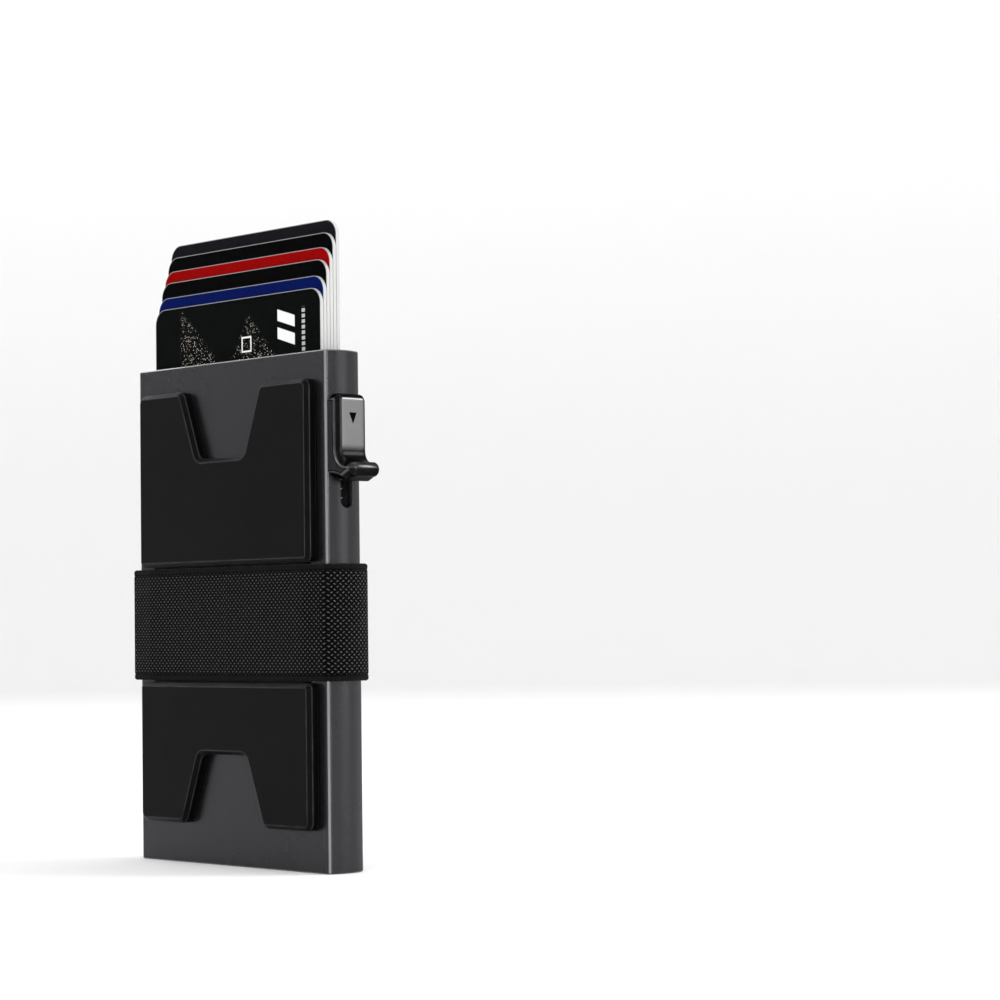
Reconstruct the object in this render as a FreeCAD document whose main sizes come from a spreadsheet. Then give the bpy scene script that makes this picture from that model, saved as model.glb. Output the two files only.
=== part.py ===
"""Pop-up card wallet: an aluminium tube that lifts six cards, with a banded cash plate.

Millimetres.  +X is the trigger side, +Y the back, +Z up; the origin is the middle of the
case's bottom face.  Every driving size is a cell of the sheet "Dims"; what follows from
those sizes is an expression of the set "Layout"; sketches and features are bound to both.
"""
import FreeCAD, Part
import math
import os

import Sketcher

CARDS = ("one", "two", "three", "four", "five", "six")
MIDDLE_CARD = (len(CARDS) - 1) / 2

DRIVING = (
    # case: extruded tube with bowed sides
    ("case_wide", 63.0, "overall width, across the bowed sides"),
    ("case_deep", 8.7, "front face to back face"),
    ("case_tall", 102.0, "bottom rim to top rim"),
    ("case_wall", 1.0, "wall of the tube"),
    ("side_bow", 1.1, "how far each side bulges"),
    ("case_round", 0.9, "radius of the four long edges"),
    ("rim_break", 0.25, "chamfer round both open ends"),
    ("slot_wide", 3.0, "trigger slot in the right side"),
    ("slot_spare", 0.3, "slot left beyond the stem at either end"),
    # cards
    ("card_wide", 54.0, "ID-1 card, short edge"),
    ("card_tall", 85.6, "ID-1 card, long edge"),
    ("card_thick", 0.76, "ID-1 card thickness"),
    ("card_round", 3.18, "ID-1 corner radius"),
    ("card_pitch", 0.84, "one card to the next"),
    ("card_stow", 15.0, "bottom edge of a stowed card"),
    ("fan_one", 29.1, "bottom edge of the front card when fanned"),
    ("fan_two", 31.6, "second card"),
    ("fan_three", 34.9, "third card"),
    ("fan_four", 37.4, "fourth card"),
    ("fan_five", 40.4, "fifth card"),
    ("fan_six", 43.0, "back card"),
    # cash plate
    ("plate_wide", 55.2, "cash plate width"),
    ("plate_tall", 88.3, "cash plate height"),
    ("plate_foot", 8.2, "bottom edge above the case's bottom"),
    ("plate_thick", 2.4, "cash plate thickness"),
    ("plate_gap", 0.15, "empty cash slot between plate and case"),
    ("plate_bevel", 0.85, "chamfer round the plate's front"),
    ("plate_round", 1.8, "outer corner radius"),
    ("notch_mouth", 25.5, "thumb notch width at the edge"),
    ("notch_floor", 14.8, "thumb notch width at its floor"),
    ("notch_deep", 14.2, "thumb notch depth"),
    ("notch_round", 2.0, "thumb notch corner radius"),
    ("waist_inset", 3.0, "side recess that seats the band"),
    ("waist_thick", 0.55, "plate left under the band"),
    ("waist_round", 1.2, "corner radius of the side recess"),
    # elastic band
    ("band_wide", 22.9, "band height up the case"),
    ("band_foot", 37.3, "band's lower edge"),
    ("band_thick", 1.4, "band thickness"),
    ("band_gap", 0.1, "band clear of the case"),
    ("band_ease", 0.05, "band clear of the plate's waist"),
    ("band_side", 0.4, "recess left above and below the band"),
    ("band_slack", 0.2, "band's bend beyond the plate's waist"),
    ("band_soft", 0.35, "rounding of the band's long edges"),
    # trigger
    ("travel", 12.0, "trigger stroke"),
    ("button_drop", 8.7, "case top down to the button's top"),
    ("button_wide", 8.1, "button across the side of the case"),
    ("button_gap", 0.25, "button clear of the case"),
    ("pad_stand", 2.1, "flat pad beyond the case's side"),
    ("pad_tall", 10.9, "button top to the start of the sweep"),
    ("pad_round", 1.4, "radius over the top of the pad"),
    ("sweep_round", 2.6, "concave sweep into the nose"),
    ("nose_reach", 6.6, "nose tip beyond the case's side"),
    ("nose_round", 1.75, "radius of the nose tip"),
    ("keel_reach", 3.15, "button's lower corner beyond the case's side"),
    ("keel_drop", 0.25, "lower corner below the nose"),
    ("keel_rise", 0.875, "slope from the lower corner up to the case"),
    ("button_bevel", 1.1, "bevel down both sides"),
    ("arrow_wide", 1.7, "engraved arrow width"),
    ("arrow_tall", 2.0, "engraved arrow height"),
    ("arrow_drop", 4.8, "button top to the arrow's middle"),
    ("arrow_deep", 0.25, "engraving depth"),
    ("stem_drop", 4.0, "button top to the stem's top"),
    ("stem_tall", 6.0, "stem height"),
    ("stem_ease", 0.2, "stem clear of the slot's sides"),
    ("stem_reach", 1.1, "stem into the button"),
    ("carriage_tall", 10.4, "carriage height"),
    ("carriage_wide", 3.2, "carriage across its channel"),
    ("carriage_ease", 0.2, "carriage clear of its channel"),
    ("carriage_play", 0.15, "carriage clear of the partition"),
    ("carriage_back", 0.9, "push rod's axis to the carriage's outer face"),
    ("carriage_sink", 2.3, "carriage below the stem"),
    ("fit", 0.02, "clearance of parts pressed together"),
    ("run", 0.05, "radial clearance of a running fit"),
    ("overcut", 1.0, "how far a cut runs past the face it leaves"),
    # rocker and push rod
    ("pivot_inset", 13.5, "case side in to the pivot"),
    ("pivot_rise", 8.4, "pivot above the case's bottom"),
    ("short_arm", 10.5, "pivot to drive peg"),
    ("droop", 5.0, "long arm below level at rest"),
    ("tip_round", 2.0, "radius of a lifting tip"),
    ("lift_gap", 0.2, "tip clear of the fanned cards"),
    ("hub_round", 3.0, "rocker hub radius"),
    ("pin_round", 0.9, "pivot pin radius"),
    ("peg_round", 0.6, "drive peg radius"),
    ("pin_break", 0.14, "chamfer on the ends of pin and peg"),
    ("peg_wall", 0.6, "short arm round the peg"),
    ("peg_play", 0.3, "drive peg clear of the yoke slot"),
    ("yoke_plate", 0.42, "yoke side plate"),
    ("yoke_side", 0.3, "yoke plate clear of the rocker"),
    ("yoke_lip", 0.4, "yoke below its slot"),
    ("yoke_tall", 3.0, "yoke above the peg"),
    ("yoke_heel", 0.7, "yoke left of its slot"),
    ("yoke_back", 0.2, "yoke clear of the case's corner"),
    ("bar_wide", 1.5, "cross bar of the yoke"),
    ("rod_round", 0.5, "push rod radius"),
    ("rod_inset", 2.5, "case side in to the push rod"),
    ("rod_grip", 3.0, "push rod inside the carriage"),
    ("wire_round", 0.14, "return spring wire radius"),
    ("coil_round", 0.85, "return spring mean radius"),
    ("coil_turns", 15.0, "return spring turns"),
    ("spring_rest", 25.4, "return spring length at rest"),
    # inner frame, liners and end cap
    ("rail_gap", 0.3, "card edge to rail"),
    ("frame_drop", 2.0, "case top down to the frame's top"),
    ("web_top", 22.5, "top of the webs"),
    ("web_side", 0.6, "web clear of the yoke"),
    ("partition", 0.5, "wall between cards and channel"),
    ("channel_foot", 18.5, "bottom of the trigger channel"),
    ("ledge_gap", 0.3, "stowed cards above their ledges"),
    ("ledge_clear", 0.5, "ledge clear of the longest arm"),
    ("bar_side", 1.0, "pivot to the right ledge"),
    ("bar_ledge", 2.5, "right ledge width"),
    ("bar_ledge_tall", 1.7, "right ledge height"),
    ("boss_side", 2.5, "pivot to the right screw"),
    ("boss_tall", 1.2, "right screw boss height"),
    ("boss_wide", 3.2, "right screw boss width"),
    ("rib_thick", 1.4, "rib under the return spring"),
    ("cap_thick", 2.4, "end cap thickness"),
    ("cap_fit", 0.05, "end cap clear of the tube"),
    ("well_floor", 0.8, "end cap left under the yoke"),
    ("well_side", 1.5, "well beyond the yoke, for the short arm"),
    ("screw_long", 3.2, "end cap screw, overall"),
    ("screw_round", 0.5, "screw shank radius"),
    ("head_round", 1.05, "screw head radius"),
    ("head_tall", 0.6, "screw head height"),
    ("head_sink", 0.1, "screw head below the cap's face"),
    ("head_slot", 0.3, "driver slot width"),
    ("bore_spare", 0.1, "screw bore past the screw's end"),
    ("liner_gap", 0.27, "card stack clear of liners and webs"),
    ("pad_side", 1.0, "liner inside the card's edge"),
    ("pad_lift", 0.5, "liner above the webs"),
)

FOLLOWING = (
    ("half_wide", "Dims.case_wide / 2"),
    ("half_flat", "Dims.case_wide / 2 - Dims.side_bow"),
    ("half_deep", "Dims.case_deep / 2"),
    ("inner_flat", "Layout.half_flat - Dims.case_wall"),
    ("inner_deep", "Layout.half_deep - Dims.case_wall"),
    ("bow_reach", "(Layout.half_deep ^ 2 + Dims.side_bow ^ 2) / (2 * Dims.side_bow)"),
    ("bow_x", "Layout.half_wide - Layout.bow_reach"),
    ("inner_reach", "(Layout.inner_deep ^ 2 + Dims.side_bow ^ 2) / (2 * Dims.side_bow)"),
    ("inner_bow_x", "Layout.half_wide - Dims.case_wall - Layout.inner_reach"),
    ("card_half", "Dims.card_wide / 2"),
    ("rail_x", "Layout.card_half + Dims.rail_gap"),
    ("stack_half", "%s * Dims.card_pitch + Dims.card_thick / 2" % MIDDLE_CARD),
    ("button_top", "Dims.case_tall - Dims.button_drop"),
    ("stem_top", "Layout.button_top - Dims.stem_drop"),
    ("stem_foot", "Layout.stem_top - Dims.stem_tall"),
    ("stem_half", "Dims.slot_wide / 2 - Dims.stem_ease"),
    ("slot_top", "Layout.stem_top + Dims.slot_spare"),
    ("slot_foot", "Layout.stem_foot - Dims.travel - Dims.slot_spare"),
    ("pad_x", "Layout.half_wide + Dims.pad_stand"),
    ("sweep_top", "Layout.button_top - Dims.pad_tall"),
    ("nose_x", "Layout.half_wide + Dims.nose_reach - Dims.nose_round"),
    ("nose_top", "Layout.sweep_top - Dims.sweep_round"),
    ("nose_foot", "Layout.nose_top - 2 * Dims.nose_round"),
    ("rod_x", "Layout.half_wide - Dims.rod_inset"),
    ("channel_x", "Layout.rail_x + Dims.partition"),
    ("carriage_in", "Layout.channel_x + Dims.carriage_play"),
    ("carriage_out", "Layout.rod_x + Dims.carriage_back"),
    ("carriage_foot", "Layout.stem_foot - Dims.carriage_sink"),
    ("pivot_x", "Layout.half_wide - Dims.pivot_inset"),
    ("crank", "asin(Dims.travel / 2 / Dims.short_arm) / 1 deg"),
    ("swing", "2 * Layout.crank"),
    ("peg_x", "Layout.pivot_x + Dims.short_arm * cos(Layout.crank)"),
    ("peg_z", "Dims.pivot_rise + Dims.travel / 2"),
    ("arm_sine", "sin(Layout.swing - Dims.droop)"),
    ("lift_level", "Dims.lift_gap + Dims.tip_round + Dims.pivot_rise"),
) + tuple(
    ("arm_" + word, "(Dims.fan_%s - Layout.lift_level) / Layout.arm_sine" % word)
    for word in CARDS
) + (
    ("ledge_x", "Layout.pivot_x - Layout.arm_six - Dims.tip_round - Dims.ledge_clear"),
    ("ledge_z", "Dims.card_stow - Dims.ledge_gap"),
    ("yoke_in", "Layout.stack_half + Dims.yoke_side"),
    ("yoke_out", "Layout.yoke_in + Dims.yoke_plate"),
    ("yoke_left", "Layout.peg_x - Dims.peg_round - Dims.peg_play - Dims.yoke_heel"),
    ("yoke_right", "Layout.inner_flat - Dims.yoke_back"),
    ("yoke_top", "Layout.peg_z + Dims.yoke_tall"),
    ("web_x", "Layout.yoke_left - Dims.web_side"),
    ("web_in", "Layout.stack_half + Dims.liner_gap"),
    ("frame_top", "Dims.case_tall - Dims.frame_drop"),
    ("spring_foot", "Layout.carriage_foot - Dims.spring_rest"),
    ("screw_bite", "Dims.screw_long + Dims.head_sink - Dims.cap_thick"),
    ("boss_x", "Layout.pivot_x + Dims.boss_side"),
    ("boss_far", "(Layout.inner_flat - Layout.ledge_x) / 2"),
    ("cap_reach", "((Layout.inner_deep - Dims.cap_fit) ^ 2 + Dims.side_bow ^ 2) / (2 * Dims.side_bow)"),
    ("cap_bow_x", "Layout.half_wide - Dims.case_wall - Dims.cap_fit - Layout.cap_reach"),
    ("plate_back", "Layout.half_deep + Dims.plate_gap"),
    ("plate_front", "Layout.plate_back + Dims.plate_thick"),
    ("plate_half", "Dims.plate_wide / 2"),
    ("plate_top", "Dims.plate_foot + Dims.plate_tall"),
    ("waist_half", "Layout.plate_half - Dims.waist_inset"),
    ("waist_foot", "Dims.band_foot - Dims.band_side"),
    ("waist_top", "Dims.band_foot + Dims.band_wide + Dims.band_side"),
    ("band_x", "Layout.waist_half + Dims.band_slack"),
    ("band_front", "Layout.plate_back + Dims.waist_thick + Dims.band_ease"),
    ("band_turn", "Layout.half_flat + Dims.band_gap"),
    ("band_back", "Layout.half_deep + Dims.band_gap"),
    ("band_reach", "(Layout.band_back ^ 2 + Dims.side_bow ^ 2) / (2 * Dims.side_bow)"),
    ("band_bow_x", "Layout.half_wide + Dims.band_gap - Layout.band_reach"),
    ("band_rise", "(Layout.band_front - Layout.band_back) / (Layout.band_turn - Layout.band_x)"),
    ("band_lean", "atan(Layout.band_rise) / 1 deg"),
    ("band_grow", "(Layout.band_reach + Dims.band_thick) / Layout.band_reach"),
)

doc = FreeCAD.newDocument("CardWallet")
dims = doc.addObject("Spreadsheet::Sheet", "Dims")
for row, (name, size, note) in enumerate(DRIVING, start=1):
    dims.set("A%d" % row, name)
    dims.set("B%d" % row, str(size))
    dims.set("C%d" % row, note)
    dims.setAlias("B%d" % row, name)
doc.recompute()

layout = doc.addObject("App::VarSet", "Layout")
for name, formula in FOLLOWING:
    layout.addProperty("App::PropertyFloat", name, "Layout")
    layout.setExpression(name, formula)
    doc.recompute()


def size(formula):
    """The present value of an expression, as a plain number of millimetres or degrees."""
    return float(layout.evalExpression(formula))


def is_zero(formula):
    return abs(size(formula)) < 1e-9


def new_body(label):
    body = doc.addObject("PartDesign::Body", label)
    body.Label = label
    return body


def sketch_on(body, role, name, offset="0", origin=("0", "0"), turn="0"):
    """A sketch on one of the body's own planes, moved along its normal, shifted and turned."""
    sketch = body.newObject("Sketcher::SketchObject", name)
    plane = [item for item in body.Origin.OriginFeatures if item.Role == role][0]
    sketch.AttachmentSupport = [(plane, "")]
    sketch.MapMode = "FlatFace"
    spin = FreeCAD.Rotation(FreeCAD.Vector(0, 0, 1), size(turn))
    sketch.AttachmentOffset = FreeCAD.Placement(FreeCAD.Vector(0, 0, 0), spin)
    for axis, formula in (("x", origin[0]), ("y", origin[1]), ("z", offset)):
        sketch.setExpression("AttachmentOffset.Base." + axis, formula)
    if not is_zero(turn):
        sketch.setExpression("AttachmentOffset.Rotation.Angle", turn)
    return sketch


def pin_point(sketch, item, end, place):
    """Bind one end of a line or the centre of an arc to its two expressions (None leaves one free)."""
    for kind, axis, formula in (("DistanceX", -2, place[0]), ("DistanceY", -1, place[1])):
        if formula is None:
            continue
        if is_zero(formula):
            sketch.addConstraint(Sketcher.Constraint("PointOnObject", item, end, axis))
            continue
        index = sketch.addConstraint(Sketcher.Constraint(kind, item, end, size(formula)))
        sketch.setExpression("Constraints[%d]" % index, formula)


def outline(sketch, corners):
    """One closed outline.

    A corner is (x, y); a corner that an arc arrives at is (x, y, centre_x, centre_y, sense)
    with sense 1 counter-clockwise and -1 clockwise.  Its endpoints and one coordinate of its
    centre are enough to fix an arc, so a chord that runs upright is fixed by centre_x.
    """
    spots = [FreeCAD.Vector(size(c[0]), size(c[1]), 0) for c in corners]
    joins = []
    for index in range(len(corners)):
        after = (index + 1) % len(corners)
        start, end, bend = spots[index], spots[after], corners[after][2:]
        if not bend:
            item = sketch.addGeometry(Part.LineSegment(start, end), False)
            joins.append((item, 1, 2))
            continue
        centre = FreeCAD.Vector(size(bend[0]), size(bend[1]), 0)
        circle = Part.Circle(centre, FreeCAD.Vector(0, 0, 1), start.distanceToPoint(centre))
        first, last = (start, end) if bend[2] > 0 else (end, start)
        low = math.atan2(first.y - centre.y, first.x - centre.x)
        high = math.atan2(last.y - centre.y, last.x - centre.x)
        if high <= low:
            high += 2 * math.pi
        item = sketch.addGeometry(Part.ArcOfCircle(circle, low, high), False)
        joins.append((item, 1, 2) if bend[2] > 0 else (item, 2, 1))
        upright = abs(start.x - end.x) <= abs(start.y - end.y)
        pin_point(sketch, item, 3, (bend[0], None) if upright else (None, bend[1]))
    for index, (item, begin, finish) in enumerate(joins):
        following, start_end, _ = joins[(index + 1) % len(joins)]
        sketch.addConstraint(Sketcher.Constraint("Coincident", item, finish, following, start_end))
        pin_point(sketch, item, begin, corners[index][:2])


def disc(sketch, x, y, radius):
    """One circle with its centre and radius bound."""
    circle = Part.Circle(FreeCAD.Vector(size(x), size(y), 0), FreeCAD.Vector(0, 0, 1), size(radius))
    item = sketch.addGeometry(circle, False)
    index = sketch.addConstraint(Sketcher.Constraint("Radius", item, size(radius)))
    sketch.setExpression("Constraints[%d]" % index, radius)
    pin_point(sketch, item, 3, (x, y))


def box_corners(left, right, low, high):
    return [(left, low), (right, low), (right, high), (left, high)]


def pad(body, sketch, length, middle=False, reverse=False):
    feature = body.newObject("PartDesign::Pad", sketch.Name + "_pad")
    feature.Profile = sketch
    feature.SideType = "Symmetric" if middle else "One side"
    feature.Reversed = reverse
    feature.setExpression("Length", length)
    sketch.Visibility = False
    doc.recompute()
    return feature


def pocket(body, sketch, length, middle=False, reverse=False):
    """A cut of a set length; it must take something away."""
    before = body.Shape.Volume
    feature = body.newObject("PartDesign::Pocket", sketch.Name + "_pocket")
    feature.Profile = sketch
    feature.SideType = "Symmetric" if middle else "One side"
    feature.Reversed = reverse
    feature.setExpression("Length", length)
    sketch.Visibility = False
    doc.recompute()
    if body.Shape.Volume > before - 1e-4:
        raise ValueError("%s cuts nothing" % feature.Name)
    return feature


def edges_where(body, rule):
    """Names of the edges of the body's present shape that a geometric rule picks."""
    shape = body.Tip.Shape
    return ["Edge%d" % number for number, edge in enumerate(shape.Edges, start=1) if rule(edge)]


def dress(body, kind, name, rule, amount):
    """A Fillet or Chamfer on the edges that the rule picks."""
    names = edges_where(body, rule)
    if not names:
        raise ValueError("%s found no edge" % name)
    feature = body.newObject("PartDesign::" + kind, name)
    feature.Base = (body.Tip if body.Tip != feature else feature.BaseFeature, names)
    feature.setExpression("Radius" if kind == "Fillet" else "Size", amount)
    doc.recompute()
    return feature


def runs_along(edge, axis):
    """True for a straight edge parallel to one axis (0, 1 or 2)."""
    if not isinstance(edge.Curve, Part.Line):
        return False
    reach = edge.Vertexes[-1].Point - edge.Vertexes[0].Point
    return abs(abs(reach[axis]) - reach.Length) < 1e-6


def lies_at(edge, axis, level):
    """True when the whole edge lies in the plane of that level."""
    box = edge.BoundBox
    low = (box.XMin, box.YMin, box.ZMin)[axis]
    high = (box.XMax, box.YMax, box.ZMax)[axis]
    return abs(low - level) < 1e-4 and abs(high - level) < 1e-4


def draw_bowed(sketch, flat, deep, bow_x):
    """Plan of the tube: straight front and back, bowed sides."""
    outline(sketch, [
        ("-(%s)" % flat, "-(%s)" % deep, "-(%s)" % bow_x, "0", 1),
        (flat, "-(%s)" % deep),
        (flat, deep, bow_x, "0", 1),
        ("-(%s)" % flat, deep),
    ])


def capsule(sketch, length, half):
    """A bar from the sketch's origin along its x axis, with round ends."""
    outline(sketch, [
        ("0", "-(%s)" % half, "0", "0", 1),
        (length, "-(%s)" % half),
        (length, half, length, "0", 1),
        ("0", half),
    ])


def card_level(number):
    """Offset of one card's middle plane; the first card lies nearest the front."""
    return "(%s) * Dims.card_pitch" % (MIDDLE_CARD - number)


def make_case_shell():
    body = new_body("case_shell")
    plan = sketch_on(body, "XY_Plane", "case_plan")
    draw_bowed(plan, "Layout.half_flat", "Layout.half_deep", "Layout.bow_x")
    pad(body, plan, "Dims.case_tall")
    dress(body, "Fillet", "case_long_edges", lambda edge: runs_along(edge, 2), "Dims.case_round")
    bore = sketch_on(body, "XY_Plane", "case_bore")
    draw_bowed(bore, "Layout.inner_flat", "Layout.inner_deep", "Layout.inner_bow_x")
    pocket(body, bore, "Dims.case_tall", reverse=True)
    slot = sketch_on(body, "YZ_Plane", "trigger_slot", offset="Layout.half_wide")
    half = "Dims.slot_wide / 2"
    low, high = "Layout.slot_foot + %s" % half, "Layout.slot_top - %s" % half
    outline(slot, [
        ("-(%s)" % half, low),
        (half, low, "0", low, 1),
        (half, high),
        ("-(%s)" % half, high, "0", high, 1),
    ])
    pocket(body, slot, "Dims.case_wall + 2 * Dims.side_bow")
    height = size("Dims.case_tall")
    deep = size("Layout.inner_deep")
    flat = size("Layout.inner_flat")

    def outer_rim(edge):
        if not (lies_at(edge, 2, 0.0) or lies_at(edge, 2, height)):
            return False
        middle = edge.valueAt((edge.FirstParameter + edge.LastParameter) / 2)
        inside = abs(middle.y) < deep + 0.01 and abs(middle.x) < flat + size("Dims.side_bow") + 0.01
        return not inside

    dress(body, "Chamfer", "case_rims", outer_rim, "Dims.rim_break")


def make_inner_frame():
    body = new_body("inner_frame")
    block = sketch_on(body, "XZ_Plane", "frame_block")
    outline(block, [
        ("-Layout.inner_flat", "Dims.cap_thick"),
        ("Layout.web_x", "Dims.cap_thick"),
        ("Layout.web_x", "Dims.channel_foot"),
        ("Layout.inner_flat", "Dims.channel_foot"),
        ("Layout.inner_flat", "Dims.web_top"),
        ("-Layout.inner_flat", "Dims.web_top"),
    ])
    pad(body, block, "2 * Layout.inner_deep", middle=True)
    chamber = sketch_on(body, "XZ_Plane", "works_chamber")
    outline(chamber, [
        ("Layout.ledge_x", "Dims.cap_thick - Dims.overcut"),
        ("Layout.web_x + Dims.overcut", "Dims.cap_thick - Dims.overcut"),
        ("Layout.web_x + Dims.overcut", "Dims.channel_foot"),
        ("Layout.rail_x", "Dims.channel_foot"),
        ("Layout.rail_x", "Dims.web_top + Dims.overcut"),
        ("-Layout.rail_x", "Dims.web_top + Dims.overcut"),
        ("-Layout.rail_x", "Layout.ledge_z"),
        ("Layout.ledge_x", "Layout.ledge_z"),
    ])
    pocket(body, chamber, "2 * Layout.web_in", middle=True)
    bar = sketch_on(body, "XZ_Plane", "right_ledge")
    bar_left = "Layout.pivot_x + Dims.bar_side"
    outline(bar, box_corners(bar_left, bar_left + " + Dims.bar_ledge",
                             "Layout.ledge_z - Dims.bar_ledge_tall", "Layout.ledge_z"))
    pad(body, bar, "2 * Layout.inner_deep", middle=True)
    boss = sketch_on(body, "XZ_Plane", "right_boss")
    outline(boss, box_corners("Layout.boss_x - Dims.boss_wide / 2", "Layout.boss_x + Dims.boss_wide / 2",
                              "Dims.cap_thick", "Dims.cap_thick + Dims.boss_tall"))
    pad(body, boss, "2 * Layout.inner_deep", middle=True)
    left = sketch_on(body, "XY_Plane", "left_rail", offset="Dims.cap_thick")
    outline(left, box_corners("-Layout.inner_flat", "-Layout.rail_x",
                              "-Layout.inner_deep", "Layout.inner_deep"))
    pad(body, left, "Layout.frame_top - Dims.cap_thick")
    right = sketch_on(body, "XY_Plane", "right_rail", offset="Dims.channel_foot")
    outline(right, box_corners("Layout.rail_x", "Layout.inner_flat",
                               "-Layout.inner_deep", "Layout.inner_deep"))
    pad(body, right, "Layout.frame_top - Dims.channel_foot")
    channel = sketch_on(body, "XY_Plane", "trigger_channel", offset="Dims.channel_foot")
    half = "Dims.carriage_wide / 2 + Dims.carriage_ease"
    outline(channel, box_corners("Layout.channel_x", "Layout.inner_flat + Dims.overcut",
                                 "-(%s)" % half, half))
    pocket(body, channel, "Dims.case_tall", reverse=True)
    rib = sketch_on(body, "XY_Plane", "spring_rib", offset="Layout.spring_foot - Dims.rib_thick")
    outline(rib, box_corners("Layout.rail_x", "Layout.carriage_out", "-(%s)" % half, half))
    pad(body, rib, "Dims.rib_thick")
    bore = sketch_on(body, "XY_Plane", "rod_bore", offset="Layout.spring_foot")
    disc(bore, "Layout.rod_x", "0", "Dims.rod_round + 2 * Dims.run")
    pocket(body, bore, "Dims.rib_thick")
    pin = sketch_on(body, "XZ_Plane", "pin_bore")
    disc(pin, "Layout.pivot_x", "Dims.pivot_rise", "Dims.pin_round + Dims.fit")
    pocket(body, pin, "2 * Layout.inner_deep + Dims.overcut", middle=True)
    for side, where in (("left", "-Layout.boss_far"), ("right", "Layout.boss_x")):
        hole = sketch_on(body, "XY_Plane", side + "_screw_bore", offset="Dims.cap_thick")
        disc(hole, where, "0", "Dims.screw_round + Dims.fit")
        pocket(body, hole, "Layout.screw_bite + Dims.bore_spare", reverse=True)


def make_end_cap():
    body = new_body("end_cap")
    plan = sketch_on(body, "XY_Plane", "cap_plan")
    draw_bowed(plan, "Layout.inner_flat - Dims.cap_fit", "Layout.inner_deep - Dims.cap_fit",
               "Layout.cap_bow_x")
    pad(body, plan, "Dims.cap_thick")
    well = sketch_on(body, "XY_Plane", "yoke_well", offset="Dims.cap_thick")
    outline(well, box_corners("Layout.yoke_left - Dims.well_side", "Layout.half_wide",
                              "-Layout.half_deep", "Layout.half_deep"))
    pocket(body, well, "Dims.cap_thick - Dims.well_floor")
    for side, where in (("left", "-Layout.boss_far"), ("right", "Layout.boss_x")):
        hole = sketch_on(body, "XY_Plane", side + "_cap_bore")
        disc(hole, where, "0", "Dims.screw_round + Dims.run")
        pocket(body, hole, "Dims.cap_thick + Dims.overcut", reverse=True)
        seat = sketch_on(body, "XY_Plane", side + "_head_seat")
        disc(seat, where, "0", "Dims.head_round + Dims.run")
        pocket(body, seat, "Dims.head_tall + Dims.head_sink", reverse=True)


def make_screw(label, where):
    """A slotted screw, turned about its own axis and set in place by the body."""
    body = new_body(label)
    profile = sketch_on(body, "XZ_Plane", label + "_profile")
    outline(profile, [
        ("0", "0"),
        ("Dims.head_round", "0"),
        ("Dims.head_round", "Dims.head_tall"),
        ("Dims.screw_round", "Dims.head_tall"),
        ("Dims.screw_round", "Dims.screw_long"),
        ("0", "Dims.screw_long"),
    ])
    turned = body.newObject("PartDesign::Revolution", label + "_turned")
    turned.Profile = profile
    turned.ReferenceAxis = (profile, ["V_Axis"])
    turned.Angle = 360
    doc.recompute()
    slot = sketch_on(body, "XY_Plane", label + "_slot")
    reach = "Dims.head_round + Dims.overcut"
    outline(slot, box_corners("-(%s)" % reach, reach, "-Dims.head_slot / 2", "Dims.head_slot / 2"))
    pocket(body, slot, "Dims.head_tall / 2", reverse=True)
    body.setExpression("Placement.Base.x", where)
    body.setExpression("Placement.Base.z", "Dims.head_sink")


def make_liner(label, back):
    """A felt strip glued to the inside of the tube, which holds the cards by friction."""
    body = new_body(label)
    face = sketch_on(body, "XZ_Plane", label + "_face",
                     offset="-Layout.inner_deep" if back else "Layout.inner_deep")
    half = "Layout.card_half - Dims.pad_side"
    outline(face, box_corners("-(%s)" % half, half, "Dims.web_top + Dims.pad_lift",
                              "Layout.frame_top - Dims.pad_lift"))
    pad(body, face, "Layout.inner_deep - Layout.web_in", reverse=not back)
    dress(body, "Fillet", label + "_corners", lambda edge: runs_along(edge, 1), "Dims.pad_side")


def make_trigger_button():
    body = new_body("trigger_button")
    side = sketch_on(body, "XZ_Plane", "button_side")
    root = "Layout.half_flat"
    round_x, round_z = "Layout.pad_x - Dims.pad_round", "Layout.button_top - Dims.pad_round"
    sweep_x = "Layout.pad_x + Dims.sweep_round"
    nose_z = "Layout.nose_top - Dims.nose_round"
    outline(side, [
        (root, "Layout.nose_foot + Dims.keel_rise"),
        ("Layout.half_wide + Dims.keel_reach", "Layout.nose_foot - Dims.keel_drop"),
        ("Layout.nose_x", "Layout.nose_foot"),
        ("Layout.nose_x", "Layout.nose_top", "Layout.nose_x", nose_z, 1),
        (sweep_x, "Layout.nose_top"),
        ("Layout.pad_x", "Layout.sweep_top", sweep_x, "Layout.sweep_top", -1),
        ("Layout.pad_x", round_z),
        (round_x, "Layout.button_top", round_x, round_z, 1),
        (root, "Layout.button_top"),
    ])
    pad(body, side, "Dims.button_wide", middle=True)
    half = size("Dims.button_wide") / 2
    root_x = size(root)

    def side_edge(edge):
        flat_side = lies_at(edge, 1, half) or lies_at(edge, 1, -half)
        return flat_side and not lies_at(edge, 0, root_x)

    dress(body, "Chamfer", "button_bevels", side_edge, "Dims.button_bevel")
    under = sketch_on(body, "XY_Plane", "button_underside")
    disc(under, "Layout.bow_x", "0", "Layout.bow_reach + Dims.button_gap")
    pocket(body, under, "Dims.case_tall", reverse=True)
    socket = sketch_on(body, "YZ_Plane", "stem_socket", offset="Layout.half_flat")
    stem_outline(socket, "Dims.fit")
    pocket(body, socket, "Dims.side_bow + Dims.stem_reach + Dims.fit", reverse=True)
    arrow = sketch_on(body, "YZ_Plane", "button_arrow", offset="Layout.pad_x")
    middle = "Layout.button_top - Dims.arrow_drop"
    outline(arrow, [
        ("-Dims.arrow_wide / 2", middle + " + Dims.arrow_tall / 2"),
        ("0", middle + " - Dims.arrow_tall / 2"),
        ("Dims.arrow_wide / 2", middle + " + Dims.arrow_tall / 2"),
    ])
    pocket(body, arrow, "Dims.arrow_deep")


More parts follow.
